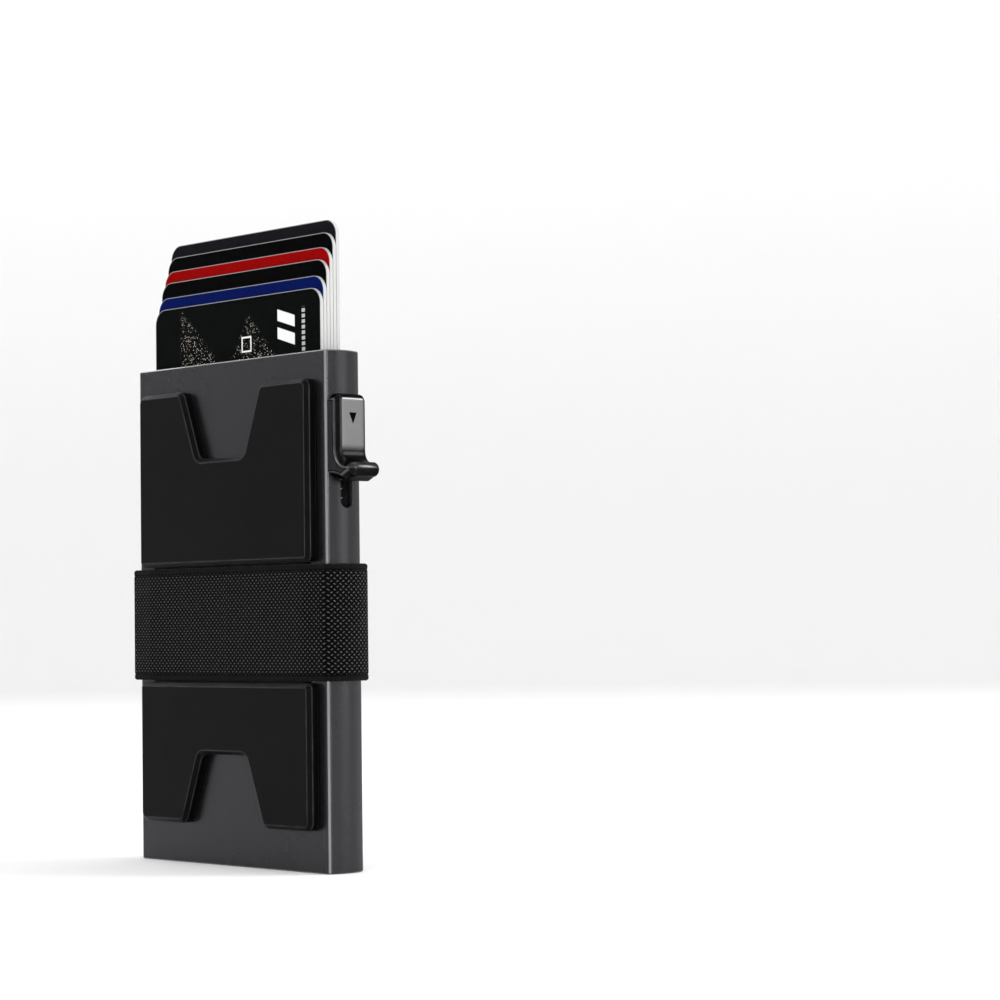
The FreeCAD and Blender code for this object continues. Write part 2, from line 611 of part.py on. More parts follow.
def stem_outline(sketch, grow):
    """The stem's round-ended section, larger all round by a clearance."""
    half = "Layout.stem_half + %s" % grow
    low, high = "Layout.stem_foot + Layout.stem_half", "Layout.stem_top - Layout.stem_half"
    outline(sketch, [
        ("-(%s)" % half, low),
        (half, low, "0", low, 1),
        (half, high),
        ("-(%s)" % half, high, "0", high, 1),
    ])


def make_trigger_carriage():
    body = new_body("trigger_carriage")
    plan = sketch_on(body, "XY_Plane", "carriage_plan", offset="Layout.carriage_foot")
    outline(plan, box_corners("Layout.carriage_in", "Layout.carriage_out",
                              "-Dims.carriage_wide / 2", "Dims.carriage_wide / 2"))
    pad(body, plan, "Dims.carriage_tall")
    stem = sketch_on(body, "YZ_Plane", "stem_section", offset="Layout.carriage_in")
    stem_outline(stem, "0")
    pad(body, stem, "Layout.half_wide + Dims.stem_reach - Layout.carriage_in")
    bore = sketch_on(body, "XY_Plane", "rod_socket", offset="Layout.carriage_foot")
    disc(bore, "Layout.rod_x", "0", "Dims.rod_round + Dims.fit")
    pocket(body, bore, "Dims.rod_grip + Dims.fit", reverse=True)


def make_push_rod():
    """Steel rod whose folded foot is the yoke round the drive peg."""
    body = new_body("push_rod")
    foot = sketch_on(body, "XZ_Plane", "yoke_side")
    slot = "Dims.peg_round + Dims.peg_play"
    outline(foot, [
        ("Layout.yoke_left", "Layout.peg_z - (%s) - Dims.yoke_lip" % slot),
        ("Layout.yoke_right", "Layout.peg_z - (%s) - Dims.yoke_lip" % slot),
        ("Layout.yoke_right", "Layout.peg_z - (%s)" % slot),
        ("Layout.yoke_left + Dims.yoke_heel", "Layout.peg_z - (%s)" % slot),
        ("Layout.yoke_left + Dims.yoke_heel", "Layout.peg_z + (%s)" % slot),
        ("Layout.yoke_right", "Layout.peg_z + (%s)" % slot),
        ("Layout.yoke_right", "Layout.yoke_top"),
        ("Layout.yoke_left", "Layout.yoke_top"),
    ])
    pad(body, foot, "2 * Layout.yoke_out", middle=True)
    hollow = sketch_on(body, "XZ_Plane", "yoke_hollow")
    bar_foot = "Layout.yoke_top - Dims.bar_wide"
    bar_x = "Layout.yoke_right - Dims.bar_wide"
    outline(hollow, [
        ("Layout.yoke_left - Dims.overcut", "Dims.pivot_rise"),
        ("Layout.yoke_right + Dims.overcut", "Dims.pivot_rise"),
        ("Layout.yoke_right + Dims.overcut", bar_foot),
        (bar_x, bar_foot),
        (bar_x, "Layout.yoke_top + Dims.overcut"),
        ("Layout.yoke_left - Dims.overcut", "Layout.yoke_top + Dims.overcut"),
    ])
    pocket(body, hollow, "2 * Layout.yoke_in", middle=True)
    rod = sketch_on(body, "XY_Plane", "rod_section", offset="Layout.yoke_top - Dims.bar_wide / 2")
    disc(rod, "Layout.rod_x", "0", "Dims.rod_round")
    pad(body, rod, "Layout.carriage_foot + Dims.rod_grip - Layout.yoke_top + Dims.bar_wide / 2")


def make_return_spring():
    """Compression spring round the push rod, coiled about its own axis."""
    body = new_body("return_spring")
    wire = sketch_on(body, "XZ_Plane", "spring_wire")
    disc(wire, "Dims.coil_round", "Dims.wire_round", "Dims.wire_round")
    coil = body.newObject("PartDesign::AdditiveHelix", "spring_coil")
    coil.Profile = wire
    coil.ReferenceAxis = (wire, ["V_Axis"])
    coil.Mode = "height-turns-angle"
    coil.setExpression("Height", "Dims.spring_rest - 2 * Dims.wire_round")
    coil.setExpression("Turns", "Dims.coil_turns")
    body.setExpression("Placement.Base.x", "Layout.rod_x")
    body.setExpression("Placement.Base.z", "Layout.spring_foot")
    doc.recompute()


def make_rocker():
    """Six lifting blades of stepped length on one hub, and the short arm that the rod pulls."""
    body = new_body("rocker")
    hub = sketch_on(body, "XZ_Plane", "hub")
    disc(hub, "Layout.pivot_x", "Dims.pivot_rise", "Dims.hub_round")
    pad(body, hub, "2 * Layout.stack_half", middle=True)
    pivot = ("Layout.pivot_x", "Dims.pivot_rise")
    crank = sketch_on(body, "XZ_Plane", "short_arm_side", origin=pivot, turn="Layout.crank")
    capsule(crank, "Dims.short_arm", "Dims.peg_round + Dims.peg_wall")
    pad(body, crank, "2 * Layout.stack_half", middle=True)
    for number, word in enumerate(CARDS):
        blade = sketch_on(body, "XZ_Plane", "blade_" + word, offset=card_level(number), origin=pivot,
                          turn="180 + Dims.droop")
        capsule(blade, "Layout.arm_" + word, "Dims.tip_round")
        pad(body, blade, "Dims.card_thick", middle=True)
    bore = sketch_on(body, "XZ_Plane", "pivot_bore")
    disc(bore, "Layout.pivot_x", "Dims.pivot_rise", "Dims.pin_round + Dims.run")
    pocket(body, bore, "2 * Layout.stack_half + Dims.overcut", middle=True)
    eye = sketch_on(body, "XZ_Plane", "peg_bore")
    disc(eye, "Layout.peg_x", "Layout.peg_z", "Dims.peg_round + Dims.fit")
    pocket(body, eye, "2 * Layout.stack_half + Dims.overcut", middle=True)


def make_pin(label, place, radius, length):
    body = new_body(label)
    section = sketch_on(body, "XZ_Plane", label + "_section")
    disc(section, place[0], place[1], radius)
    pad(body, section, length, middle=True)
    dress(body, "Chamfer", label + "_ends",
          lambda edge: isinstance(edge.Curve, Part.Circle), "Dims.pin_break")


def make_elastic_band():
    """A closed loop: across the plate's waist, round both bowed sides and over the back."""
    body = new_body("elastic_band")
    plan = sketch_on(body, "XY_Plane", "band_plan", offset="Dims.band_foot")
    front, back = "-Layout.band_front", "Layout.band_back"
    turn, waist, bow = "Layout.band_turn", "Layout.band_x", "Layout.band_bow_x"
    outline(plan, [
        ("-" + waist, front),
        (waist, front),
        (turn, "-" + back),
        (turn, back, bow, "0", 1),
        ("-" + turn, back),
        ("-" + turn, "-" + back, "-" + bow, "0", 1),
    ])
    lean_x = "Dims.band_thick * sin(Layout.band_lean)"
    lean_y = "Dims.band_thick * cos(Layout.band_lean)"
    edge_x = "(Layout.band_bow_x + (Layout.band_turn - Layout.band_bow_x) * Layout.band_grow)"
    edge_y = "(Layout.band_back * Layout.band_grow)"
    outline(plan, [
        ("-(%s + %s / 2)" % (waist, lean_x), front + " - Dims.band_thick"),
        ("%s + %s / 2" % (waist, lean_x), front + " - Dims.band_thick"),
        ("%s + %s" % (turn, lean_x), "-(%s + %s)" % (back, lean_y)),
        (edge_x, "-" + edge_y, turn, "-" + back, 1),
        (edge_x, edge_y, bow, "0", 1),
        (turn, back + " + Dims.band_thick", turn, back, 1),
        ("-" + turn, back + " + Dims.band_thick"),
        ("-" + edge_x, edge_y, "-" + turn, back, 1),
        ("-" + edge_x, "-" + edge_y, "-" + bow, "0", 1),
        ("-(%s + %s)" % (turn, lean_x), "-(%s + %s)" % (back, lean_y), "-" + turn, "-" + back, 1),
    ])
    pad(body, plan, "Dims.band_wide")
    low, high = size("Dims.band_foot"), size("Dims.band_foot + Dims.band_wide")
    dress(body, "Chamfer", "band_edges", lambda edge: lies_at(edge, 2, low) or lies_at(edge, 2, high),
          "Dims.band_soft")


def make_cash_plate():
    body = new_body("cash_plate")
    face = sketch_on(body, "XZ_Plane", "plate_face", offset="Layout.plate_back")
    side, waist = "Layout.plate_half", "Layout.waist_half"
    mouth, floor = "Dims.notch_mouth / 2", "Dims.notch_floor / 2"
    low, high = "Dims.plate_foot", "Layout.plate_top"
    right = [
        (mouth, low), (side, low), (side, "Layout.waist_foot"), (waist, "Layout.waist_foot"),
        (waist, "Layout.waist_top"), (side, "Layout.waist_top"), (side, high), (mouth, high),
        (floor, high + " - Dims.notch_deep"),
    ]
    left = [("-" + x, z) for x, z in reversed(right)]
    outline(face, right + left[:-1] + [("-" + mouth, low), ("-" + floor, low + " + Dims.notch_deep"),
                                       (floor, low + " + Dims.notch_deep")])
    pad(body, face, "Dims.plate_thick")
    half, waist_half = size(side), size(waist)
    ends = (size(low), size(high))

    def corner(edge, x, levels):
        point = edge.Vertexes[0].Point
        level = min(abs(point.z - z) for z in levels)
        return runs_along(edge, 1) and abs(abs(point.x) - x) < 0.01 and level < 0.01

    dress(body, "Fillet", "plate_corners", lambda edge: corner(edge, half, ends), "Dims.plate_round")
    floors = (ends[0] + size("Dims.notch_deep"), ends[1] - size("Dims.notch_deep"))
    notch = (size(mouth), size(floor))
    dress(body, "Fillet", "notch_corners",
          lambda edge: corner(edge, notch[0], ends) or corner(edge, notch[1], floors), "Dims.notch_round")
    band = (size("Layout.waist_foot"), size("Layout.waist_top"))
    dress(body, "Fillet", "waist_corners",
          lambda edge: corner(edge, half, band) or corner(edge, waist_half, band), "Dims.waist_round")
    channel = sketch_on(body, "XZ_Plane", "band_channel", offset="Layout.plate_front")
    outline(channel, box_corners("-" + side, side, "Layout.waist_foot", "Layout.waist_top"))
    pocket(body, channel, "Dims.plate_thick - Dims.waist_thick")
    front = -size("Layout.plate_front")
    dress(body, "Chamfer", "plate_bevels", lambda edge: lies_at(edge, 1, front), "Dims.plate_bevel")


def make_card(number, word):
    """One ID-1 card in its fanned place, on its own level of the stack."""
    body = new_body("card_%d" % (number + 1))
    face = sketch_on(body, "XZ_Plane", "card_face_" + word, offset=card_level(number))
    foot = "Dims.fan_" + word
    outline(face, box_corners("-Layout.card_half", "Layout.card_half", foot, foot + " + Dims.card_tall"))
    pad(body, face, "Dims.card_thick", middle=True)
    dress(body, "Fillet", "card_corners_" + word, lambda edge: runs_along(edge, 1), "Dims.card_round")


def write_parts():
    """Check every object, then write one STEP file for each body."""
    doc.recompute()
    for item in doc.Objects:
        if "Invalid" in item.State or "Error" in item.State:
            raise ValueError("%s did not recompute" % item.Name)
    os.makedirs("parts", exist_ok=True)
    for body in [item for item in doc.Objects if item.TypeId == "PartDesign::Body"]:
        if body.Shape.isNull() or not body.Shape.isValid():
            raise ValueError("%s has no valid shape" % body.Label)
        body.Shape.exportStep("parts/%s.step" % body.Label)
        print(body.Label, len(body.Shape.Solids), round(body.Shape.Volume, 2))


make_case_shell()
make_inner_frame()
make_end_cap()
make_screw("end_cap_screw_left", "-Layout.boss_far")
make_screw("end_cap_screw_right", "Layout.boss_x")
make_liner("front_liner", back=False)
make_liner("back_liner", back=True)
make_trigger_button()
make_trigger_carriage()
make_push_rod()
make_return_spring()
make_rocker()
make_pin("pivot_pin", ("Layout.pivot_x", "Dims.pivot_rise"), "Dims.pin_round",
         "2 * (Layout.inner_deep - Dims.run)")
make_pin("drive_peg", ("Layout.peg_x", "Layout.peg_z"), "Dims.peg_round",
         "2 * (Layout.yoke_out - Dims.run)")
make_elastic_band()
make_cash_plate()
for card_number, card_word in enumerate(CARDS):
    make_card(card_number, card_word)
write_parts()
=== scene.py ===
# %% [markdown]
# # A card wallet with a side trigger
#
# The wallet is a flat aluminium tube.  A trigger on its right side works a rocker inside, which
# pushes six cards up in a fan.  A black cash plate lies on the front, held by a wide elastic band.
# The engineering model is loaded first and fixes every size and place; this lesson dresses it,
# and rebuilds the pieces whose look needs a finer surface than an engineering solid has.

# %% Load the frame
import math

import bmesh
import bpy
import numpy as np
from mathutils import Matrix, Vector


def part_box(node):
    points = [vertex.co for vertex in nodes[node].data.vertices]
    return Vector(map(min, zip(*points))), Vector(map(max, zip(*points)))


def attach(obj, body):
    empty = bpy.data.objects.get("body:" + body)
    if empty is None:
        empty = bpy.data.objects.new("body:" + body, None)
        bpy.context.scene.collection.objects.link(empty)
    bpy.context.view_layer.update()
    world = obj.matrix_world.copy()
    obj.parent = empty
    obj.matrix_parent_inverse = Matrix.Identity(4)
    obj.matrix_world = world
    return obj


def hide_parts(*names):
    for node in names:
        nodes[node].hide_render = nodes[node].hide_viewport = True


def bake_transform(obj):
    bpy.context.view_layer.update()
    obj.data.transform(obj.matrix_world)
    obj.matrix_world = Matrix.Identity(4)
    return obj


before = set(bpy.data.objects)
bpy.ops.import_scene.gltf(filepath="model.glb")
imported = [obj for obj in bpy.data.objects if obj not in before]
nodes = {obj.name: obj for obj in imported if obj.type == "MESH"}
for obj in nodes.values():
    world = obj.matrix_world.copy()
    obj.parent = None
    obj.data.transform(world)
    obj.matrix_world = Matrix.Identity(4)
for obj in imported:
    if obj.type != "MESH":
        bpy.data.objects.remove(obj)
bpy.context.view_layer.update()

MM = 0.001

# %% [markdown]
# ## Places
#
# A node's box gives its lowest and highest corner in metres.  Everything below is placed from
# such boxes, in millimetres, so the new pieces follow the engineering model.

# %% Boxes of the pieces that others are placed from


def box_mm(node):
    """Lowest and highest corner of a node, in millimetres, as two arrays."""
    low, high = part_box(node)
    return np.array(low) / MM, np.array(high) / MM


case_low, case_high = box_mm("case_shell")
plate_low, plate_high = box_mm("cash_plate")
band_low, band_high = box_mm("elastic_band")
button_low, button_high = box_mm("trigger_button")
CARDS = ["card_%d" % number for number in range(1, 7)]
card_boxes = {name: box_mm(name) for name in CARDS}
side_x = case_high[0]
half_deep = case_high[1]
SIDE_BOW = 1.1
bow_radius = (half_deep ** 2 + SIDE_BOW ** 2) / (2 * SIDE_BOW)
bow_x = side_x - bow_radius
print("case", case_low.round(2), case_high.round(2), "bow radius", round(bow_radius, 2))

# %% [markdown]
# ## Camera
#
# A long lens a little over half a metre away, at the height of the case's middle, turned so that
# the wallet stands in the left third of the view and shows its front and its trigger side.

# %% Make the camera
CAMERA_PLACE = (442.7 * MM, -349.9 * MM, 47.9 * MM)
CAMERA_YAW = 46.43
CAMERA_PITCH = -2.58
CAMERA_ROLL = -0.72
CAMERA_LENS = 99.5

camera_data = bpy.data.cameras.new("camera")
camera_data.lens = CAMERA_LENS
camera_data.sensor_width = 36.0
camera_data.clip_start = 0.01
camera_data.clip_end = 20.0
camera = bpy.data.objects.new("camera", camera_data)
bpy.context.scene.collection.objects.link(camera)
yaw, pitch, roll = (math.radians(angle) for angle in (CAMERA_YAW, CAMERA_PITCH, CAMERA_ROLL))
back = Vector((math.sin(yaw) * math.cos(pitch), -math.cos(yaw) * math.cos(pitch), math.sin(pitch)))
level_right = Vector((math.cos(yaw), math.sin(yaw), 0.0))
level_up = back.cross(level_right)
right = math.cos(roll) * level_right + math.sin(roll) * level_up
up = -math.sin(roll) * level_right + math.cos(roll) * level_up
turn = Matrix((right, up, back)).transposed().to_4x4()
camera.matrix_world = Matrix.Translation(CAMERA_PLACE) @ turn
bpy.context.scene.camera = camera
print("camera", [round(v, 3) for v in camera.location], "lens", camera_data.lens)

# %% [markdown]
# ## Surfaces from grids
#
# A new piece is a function of two parameters, worked out for a whole grid of points at once.
# `skin` turns such a grid into a mesh: neighbours in the grid become four-sided faces, and a
# direction that closes on itself wraps round.  It can also lay a flat map on the surface, in
# millimetres along the two directions, for patterns that must follow a bend.

# %% Turn a grid of points into an object
CORNER_STEPS = ((0, 0), (0, 1), (1, 1), (1, 0))


def finish_mesh(mesh, name, material, smooth_angle):
    """Smooth shading with sharp edges kept, faces outward, object at the origin."""
    shape = bmesh.new()
    shape.from_mesh(mesh)
    bmesh.ops.recalc_face_normals(shape, faces=shape.faces)
    shape.to_mesh(mesh)
    shape.free()
    mesh.shade_smooth()
    mesh.set_sharp_from_angle(angle=math.radians(smooth_angle))
    mesh.materials.append(material)
    piece = bpy.data.objects.new(name, mesh)
    bpy.context.scene.collection.objects.link(piece)
    return piece


def plain_mesh(name, points, faces):
    """A mesh of points in millimetres and faces as lists of corner numbers."""
    mesh = bpy.data.meshes.new(name)
    mesh.from_pydata((points.reshape(-1, 3) * MM).tolist(), [], faces)
    return mesh


def grid_faces(rows, columns, wrap_rows, wrap_columns):
    """Corner numbers of every four-sided face, and its place in the grid."""
    row = np.arange(rows if wrap_rows else rows - 1)
    column = np.arange(columns if wrap_columns else columns - 1)
    row, column = (part.ravel() for part in np.meshgrid(row, column, indexing="ij"))
    corners = [((row + a) % rows) * columns + (column + b) % columns for a, b in CORNER_STEPS]
    return np.stack(corners, 1), row, column


def skin(name, grid, material, wrap_rows=False, wrap_columns=False, caps=False, flat_map=None,
         edge=None, smooth_angle=35):
    """Mesh of a grid of points (rows, columns, 3) in millimetres.

    caps closes the first and the last row with one flat face each.  flat_map is a pair of
    arrays, millimetres along the rows and along the columns, each one longer than the grid
    where that direction wraps.  edge is an array that spreads over the grid: 1 on an edge that is
    painted lighter, as wear and as a painted highlight, 0 elsewhere and -1 in an engraving, which
    is painted near black as shade.
    """
    rows, columns = grid.shape[:2]
    faces, row, column = grid_faces(rows, columns, wrap_rows, wrap_columns)
    listed = faces.tolist()
    if caps:
        listed += [list(range(columns)), list(range((rows - 1) * columns, rows * columns))]
    mesh = plain_mesh(name, grid, listed)
    if flat_map is not None:
        along, across = flat_map
        layer = mesh.uv_layers.new(name="cloth")
        pairs = np.stack([np.stack([along[row + a], across[column + b]], 1) for a, b in CORNER_STEPS], 1)
        layer.data.foreach_set("uv", pairs.astype(np.float32).ravel())
    if edge is not None:
        worn = mesh.attributes.new("edge", "FLOAT", "POINT")
        worn.data.foreach_set("value", np.broadcast_to(edge, (rows, columns)).astype(np.float32).ravel())
    return finish_mesh(mesh, name, material, smooth_angle)


def smooth_step(low, high, value):
    """0 below low, 1 above high, an S curve between."""
    share = np.clip((value - low) / (high - low), 0, 1)
    return share * share * (3 - 2 * share)

# %% [markdown]
# ## Shared effects
#
# Real finishes share a few effects: a fine grain from blasting or moulding, smudges from
# handling, and dust on what faces up.  Each is a node group, made once, with its own inputs;
# a material places it with its own values.  Shaders stay in the materials.

# %% Helpers for node trees


def new_group(name, inputs, outputs):
    """An empty shader node group; inputs are (name, default), outputs are names."""
    tree = bpy.data.node_groups.new(name, "ShaderNodeTree")
    for label, value in inputs:
        kind = "NodeSocketColor" if isinstance(value, tuple) else "NodeSocketFloat"
        socket = tree.interface.new_socket(name=label, in_out="INPUT", socket_type=kind)
        socket.default_value = value
    for label in outputs:
        kind = "NodeSocketColor" if label == "Color" else "NodeSocketFloat"
        tree.interface.new_socket(name=label, in_out="OUTPUT", socket_type=kind)
    return tree, tree.nodes.new("NodeGroupInput"), tree.nodes.new("NodeGroupOutput")


def feed(tree, value, socket):
    """Link a socket, or set a plain value."""
    if isinstance(value, bpy.types.NodeSocket):
        tree.links.new(value, socket)
    else:
        socket.default_value = value


def maths(tree, operation, *values):
    """One Math node; returns its output."""
    node = tree.nodes.new("ShaderNodeMath")
    node.operation = operation
    for index, value in enumerate(values):
        feed(tree, value, node.inputs[index])
    return node.outputs[0]


def spread(tree, value, from_low, from_high, to_low=0.0, to_high=1.0, smooth=True):
    """Map Range node: from one interval to another, clamped."""
    node = tree.nodes.new("ShaderNodeMapRange")
    node.interpolation_type = "SMOOTHSTEP" if smooth else "LINEAR"
    for index, item in enumerate((value, from_low, from_high, to_low, to_high)):
        feed(tree, item, node.inputs[index])
    return node.outputs[0]


def blend_colour(tree, factor, first, second):
    """Mix two colours by a factor."""
    node = tree.nodes.new("ShaderNodeMix")
    node.data_type = "RGBA"
    feed(tree, factor, node.inputs["Factor"])
    feed(tree, first, node.inputs[6])
    feed(tree, second, node.inputs[7])
    return node.outputs[2]


def noise(tree, place, scale, detail=3.0, roughness=0.5):
    """Noise texture; returns its value."""
    node = tree.nodes.new("ShaderNodeTexNoise")
    feed(tree, place, node.inputs["Vector"])
    feed(tree, scale, node.inputs["Scale"])
    node.inputs["Detail"].default_value = detail
    node.inputs["Roughness"].default_value = roughness
    return node.outputs["Fac"]


def object_place(tree):
    """Object coordinates, which are metres in the model's own frame."""
    return tree.nodes.new("ShaderNodeTexCoord").outputs["Object"]


def split(tree, vector):
    """The three numbers of a vector."""
    node = tree.nodes.new("ShaderNodeSeparateXYZ")
    feed(tree, vector, node.inputs[0])
    return node.outputs


def gap_from(tree, value, middle):
    """How far a value lies from a middle, either way."""
    return maths(tree, "ABSOLUTE", maths(tree, "SUBTRACT", value, middle))


def facing(tree):
    """The three numbers of the direction that the surface faces."""
    return split(tree, tree.nodes.new("ShaderNodeNewGeometry").outputs["Normal"])


def times(tree, first, *others):
    """A product of several values."""
    for other in others:
        first = maths(tree, "MULTIPLY", first, other)
    return first

# %% Group: grain left by blasting or moulding


def make_grain_group():
    """Two sizes of noise, as a height and as a mask."""
    tree, given, out = new_group("surface grain", [("Scale", 3000.0), ("Coarse", 0.3)], ["Height", "Mask"])
    place = object_place(tree)
    fine = noise(tree, place, given.outputs["Scale"], 2.0)
    coarse = noise(tree, place, times(tree, given.outputs["Scale"], 0.22), 3.0)
    share = times(tree, coarse, given.outputs["Coarse"])
    tree.links.new(maths(tree, "ADD", fine, share), out.inputs["Height"])
    tree.links.new(spread(tree, coarse, 0.35, 0.65), out.inputs["Mask"])
    return tree

# %% Group: smudges and small scuffs from hands and pockets


def make_handling_group():
    """Wide soft patches, and rare thin scuffs where stretched noise peaks."""
    values = [("Patch scale", 60.0), ("Scuffs", 0.3)]
    tree, given, out = new_group("handling marks", values, ["Smudge", "Scuff"])
    place = object_place(tree)
    wide = noise(tree, place, given.outputs["Patch scale"], 4.0, 0.6)
    tree.links.new(spread(tree, wide, 0.4, 0.7), out.inputs["Smudge"])
    mapping = tree.nodes.new("ShaderNodeMapping")
    mapping.inputs["Rotation"].default_value = (0.0, math.radians(28), 0.0)
    mapping.inputs["Scale"].default_value = (1.0, 1.0, 14.0)
    tree.links.new(place, mapping.inputs["Vector"])
    thin = noise(tree, mapping.outputs["Vector"], 220.0, 2.0)
    patch = spread(tree, wide, 0.5, 0.7)
    peak = spread(tree, thin, 0.66, 0.78)
    tree.links.new(times(tree, peak, patch, given.outputs["Scuffs"]), out.inputs["Scuff"])
    return tree

# %% Group: dust on faces that look up


def make_dust_group():
    """Strongest where the normal points up, broken by noise."""
    tree, given, out = new_group("settled dust", [("Amount", 0.1)], ["Mask"])
    looks_up = spread(tree, facing(tree)[2], 0.2, 1.0)
    fluff = spread(tree, noise(tree, object_place(tree), 1400.0, 4.0, 0.7), 0.45, 0.75)
    tree.links.new(times(tree, looks_up, fluff, given.outputs["Amount"]), out.inputs["Mask"])
    return tree


# %% Group: edges rubbed bright, with a painted highlight


def make_edge_wear_highlight_group():
    """The surface's own edge numbers, broken up by noise, give rubbed edges with a painted highlight; a
    number below 0 marks an engraving, painted dark as shade.
    """
    tree, given, out = new_group("rubbed edges and painted highlights", [("Amount", 0.0)], ["Mask", "Sunk"])
    edge = tree.nodes.new("ShaderNodeAttribute")
    edge.attribute_name = "edge"
    patch = spread(tree, noise(tree, object_place(tree), 260.0, 3.0), 0.30, 0.60, 0.55, 1.0)
    level = maths(tree, "MAXIMUM", edge.outputs["Fac"], 0.0)
    tree.links.new(times(tree, level, patch, given.outputs["Amount"]), out.inputs["Mask"])
    tree.links.new(spread(tree, edge.outputs["Fac"], -0.1, -0.9), out.inputs["Sunk"])
    return tree


edge_wear_highlight_group = make_edge_wear_highlight_group()
grain_group = make_grain_group()
handling_group = make_handling_group()
dust_group = make_dust_group()
print("groups", [tree.name for tree in bpy.data.node_groups])

# %% [markdown]
# ## Finishes
#
# `finish` lays out one material: a Principled shader whose colour and roughness change with the
# grain, the smudges, the scuffs and the dust, and a bump from the grain.  Values that are the
# same all over are set on the shader's own sockets.

# %% A finish made from the shared effects
# The rubbed colour is a painted highlight as well as wear; the sunk colour is a painted shade in engravings.
RUBBED_HIGHLIGHT_COLOUR, SUNK_PAINTED_SHADE = (0.10, 0.10, 0.105, 1.0), (0.001, 0.001, 0.001, 1.0)
DUST_COLOUR = (0.42, 0.41, 0.39, 1.0)


def place_group(tree, group, **values):
    node = tree.nodes.new("ShaderNodeGroup")
    node.node_tree = group
    for label, value in values.items():
        node.inputs[label.replace("_", " ")].default_value = value
    return node


def bump(tree, height, strength, distance_mm):
    node = tree.nodes.new("ShaderNodeBump")
    node.inputs["Strength"].default_value = strength
    node.inputs["Distance"].default_value = distance_mm * MM
    feed(tree, height, node.inputs["Height"])
    return node.outputs["Normal"]


def shade(colour, by):
    """A colour made lighter or darker."""
    return tuple(min(1.0, part * by) for part in colour[:3]) + (1.0,)


def new_material(name, metallic=0.0, specular=0.5):
    """Material, its tree and its Principled shader."""
    material = bpy.data.materials.new(name)
    material.use_nodes = True
    tree = material.node_tree
    shader = tree.nodes["Principled BSDF"]
    shader.inputs["Metallic"].default_value = metallic
    shader.inputs["Specular IOR Level"].default_value = specular
    return material, tree, shader


def finish(name, colour, roughness, metallic=0.0, specular=0.5, grain=3000.0, grain_depth=0.01,
           variation=0.12, scuffs=0.3, dust=0.08, edges=0.0, smudge=0.06, base=None,
           extra=None):
    """One finish.

    base is an optional function that is given the toned colour, the roughness and the height,
    and returns them patterned.  extra sets further sockets of the shader by name.
    """
    material, tree, shader = new_material(name, metallic, specular)
    colour = tuple(colour) + (1.0,)
    grains = place_group(tree, grain_group, Scale=grain)
    marks = place_group(tree, handling_group, Scuffs=scuffs)
    dusty = place_group(tree, dust_group, Amount=dust)
    darker, lighter = shade(colour, 1 - variation), shade(colour, 1 + variation)
    toned = blend_colour(tree, grains.outputs["Mask"], darker, lighter)
    worn = blend_colour(tree, marks.outputs["Scuff"], toned, shade(colour, 2.6))
    rough = spread(tree, marks.outputs["Smudge"], 0.0, 1.0, roughness - smudge, roughness + smudge,
                   smooth=False)
    height = grains.outputs["Height"]
    if base is not None:
        worn, rough, height = base(tree, worn, rough, height)
    # Edge rows are painted lighter, a painted highlight that is partly rubbed wear; engravings are painted
    # near black as shade.
    if edges:
        rubbed = place_group(tree, edge_wear_highlight_group, Amount=edges)
        worn = blend_colour(tree, rubbed.outputs["Mask"], worn, RUBBED_HIGHLIGHT_COLOUR)
        worn = blend_colour(tree, rubbed.outputs["Sunk"], worn, SUNK_PAINTED_SHADE)
    settled = blend_colour(tree, dusty.outputs["Mask"], worn, DUST_COLOUR)
    feed(tree, settled, shader.inputs["Base Color"])
    feed(tree, maths(tree, "ADD", rough, times(tree, dusty.outputs["Mask"], 0.4)),
         shader.inputs["Roughness"])
    feed(tree, bump(tree, height, 0.5, grain_depth), shader.inputs["Normal"])
    if extra is not None:
        for label, value in extra.items():
            shader.inputs[label].default_value = value
    return material

# %% Where the case is rubbed, and painted with a highlight
# The edge colour is a painted highlight on the long edges and rims, partly also rubbed wear.
CASE_EDGE_WIDE, CASE_RIM_WIDE = 0.38, 0.24
CASE_EDGE_HIGHLIGHT_COLOUR = (0.26, 0.26, 0.27, 1.0)


def case_edge_wear_and_highlight(tree, colour, rough, height):
    """Lighter along the four long edges and round both rims: a painted highlight, and partly the anodising
    rubbed thin there.

    How far a point is from a long edge is the larger of its distances in x and in y.
    """
    x, y, z = split(tree, object_place(tree))
    off_x = gap_from(tree, maths(tree, "ABSOLUTE", x), (side_x - SIDE_BOW) * MM)
    off_y = gap_from(tree, maths(tree, "ABSOLUTE", y), half_deep * MM)
    edge = spread(tree, maths(tree, "MAXIMUM", off_x, off_y), CASE_EDGE_WIDE * MM, 0.6 * CASE_EDGE_WIDE * MM)
    off_z = maths(tree, "MINIMUM", maths(tree, "SUBTRACT", z, case_low[2] * MM),
                  maths(tree, "SUBTRACT", case_high[2] * MM, z))
    rim = spread(tree, off_z, CASE_RIM_WIDE * MM, 0.8 * CASE_RIM_WIDE * MM, 0.0, 0.5)
    return blend_colour(tree, maths(tree, "MAXIMUM", edge, rim), colour, CASE_EDGE_HIGHLIGHT_COLOUR), rough, height


# %% Where the trigger is painted lighter by the way it faces the light
# Colours that stand in for light: a painted highlight on the pad and on the nose, a painted lit grey on the
# end faces.
PAD_PAINTED_HIGHLIGHT, SIDE_PAINTED_LIGHT, NOSE_PAINTED_HIGHLIGHT = ((level, level, 1.01 * level, 1.0) for level in (0.150, 0.030, 0.045))
PAD_TALL = 10.9


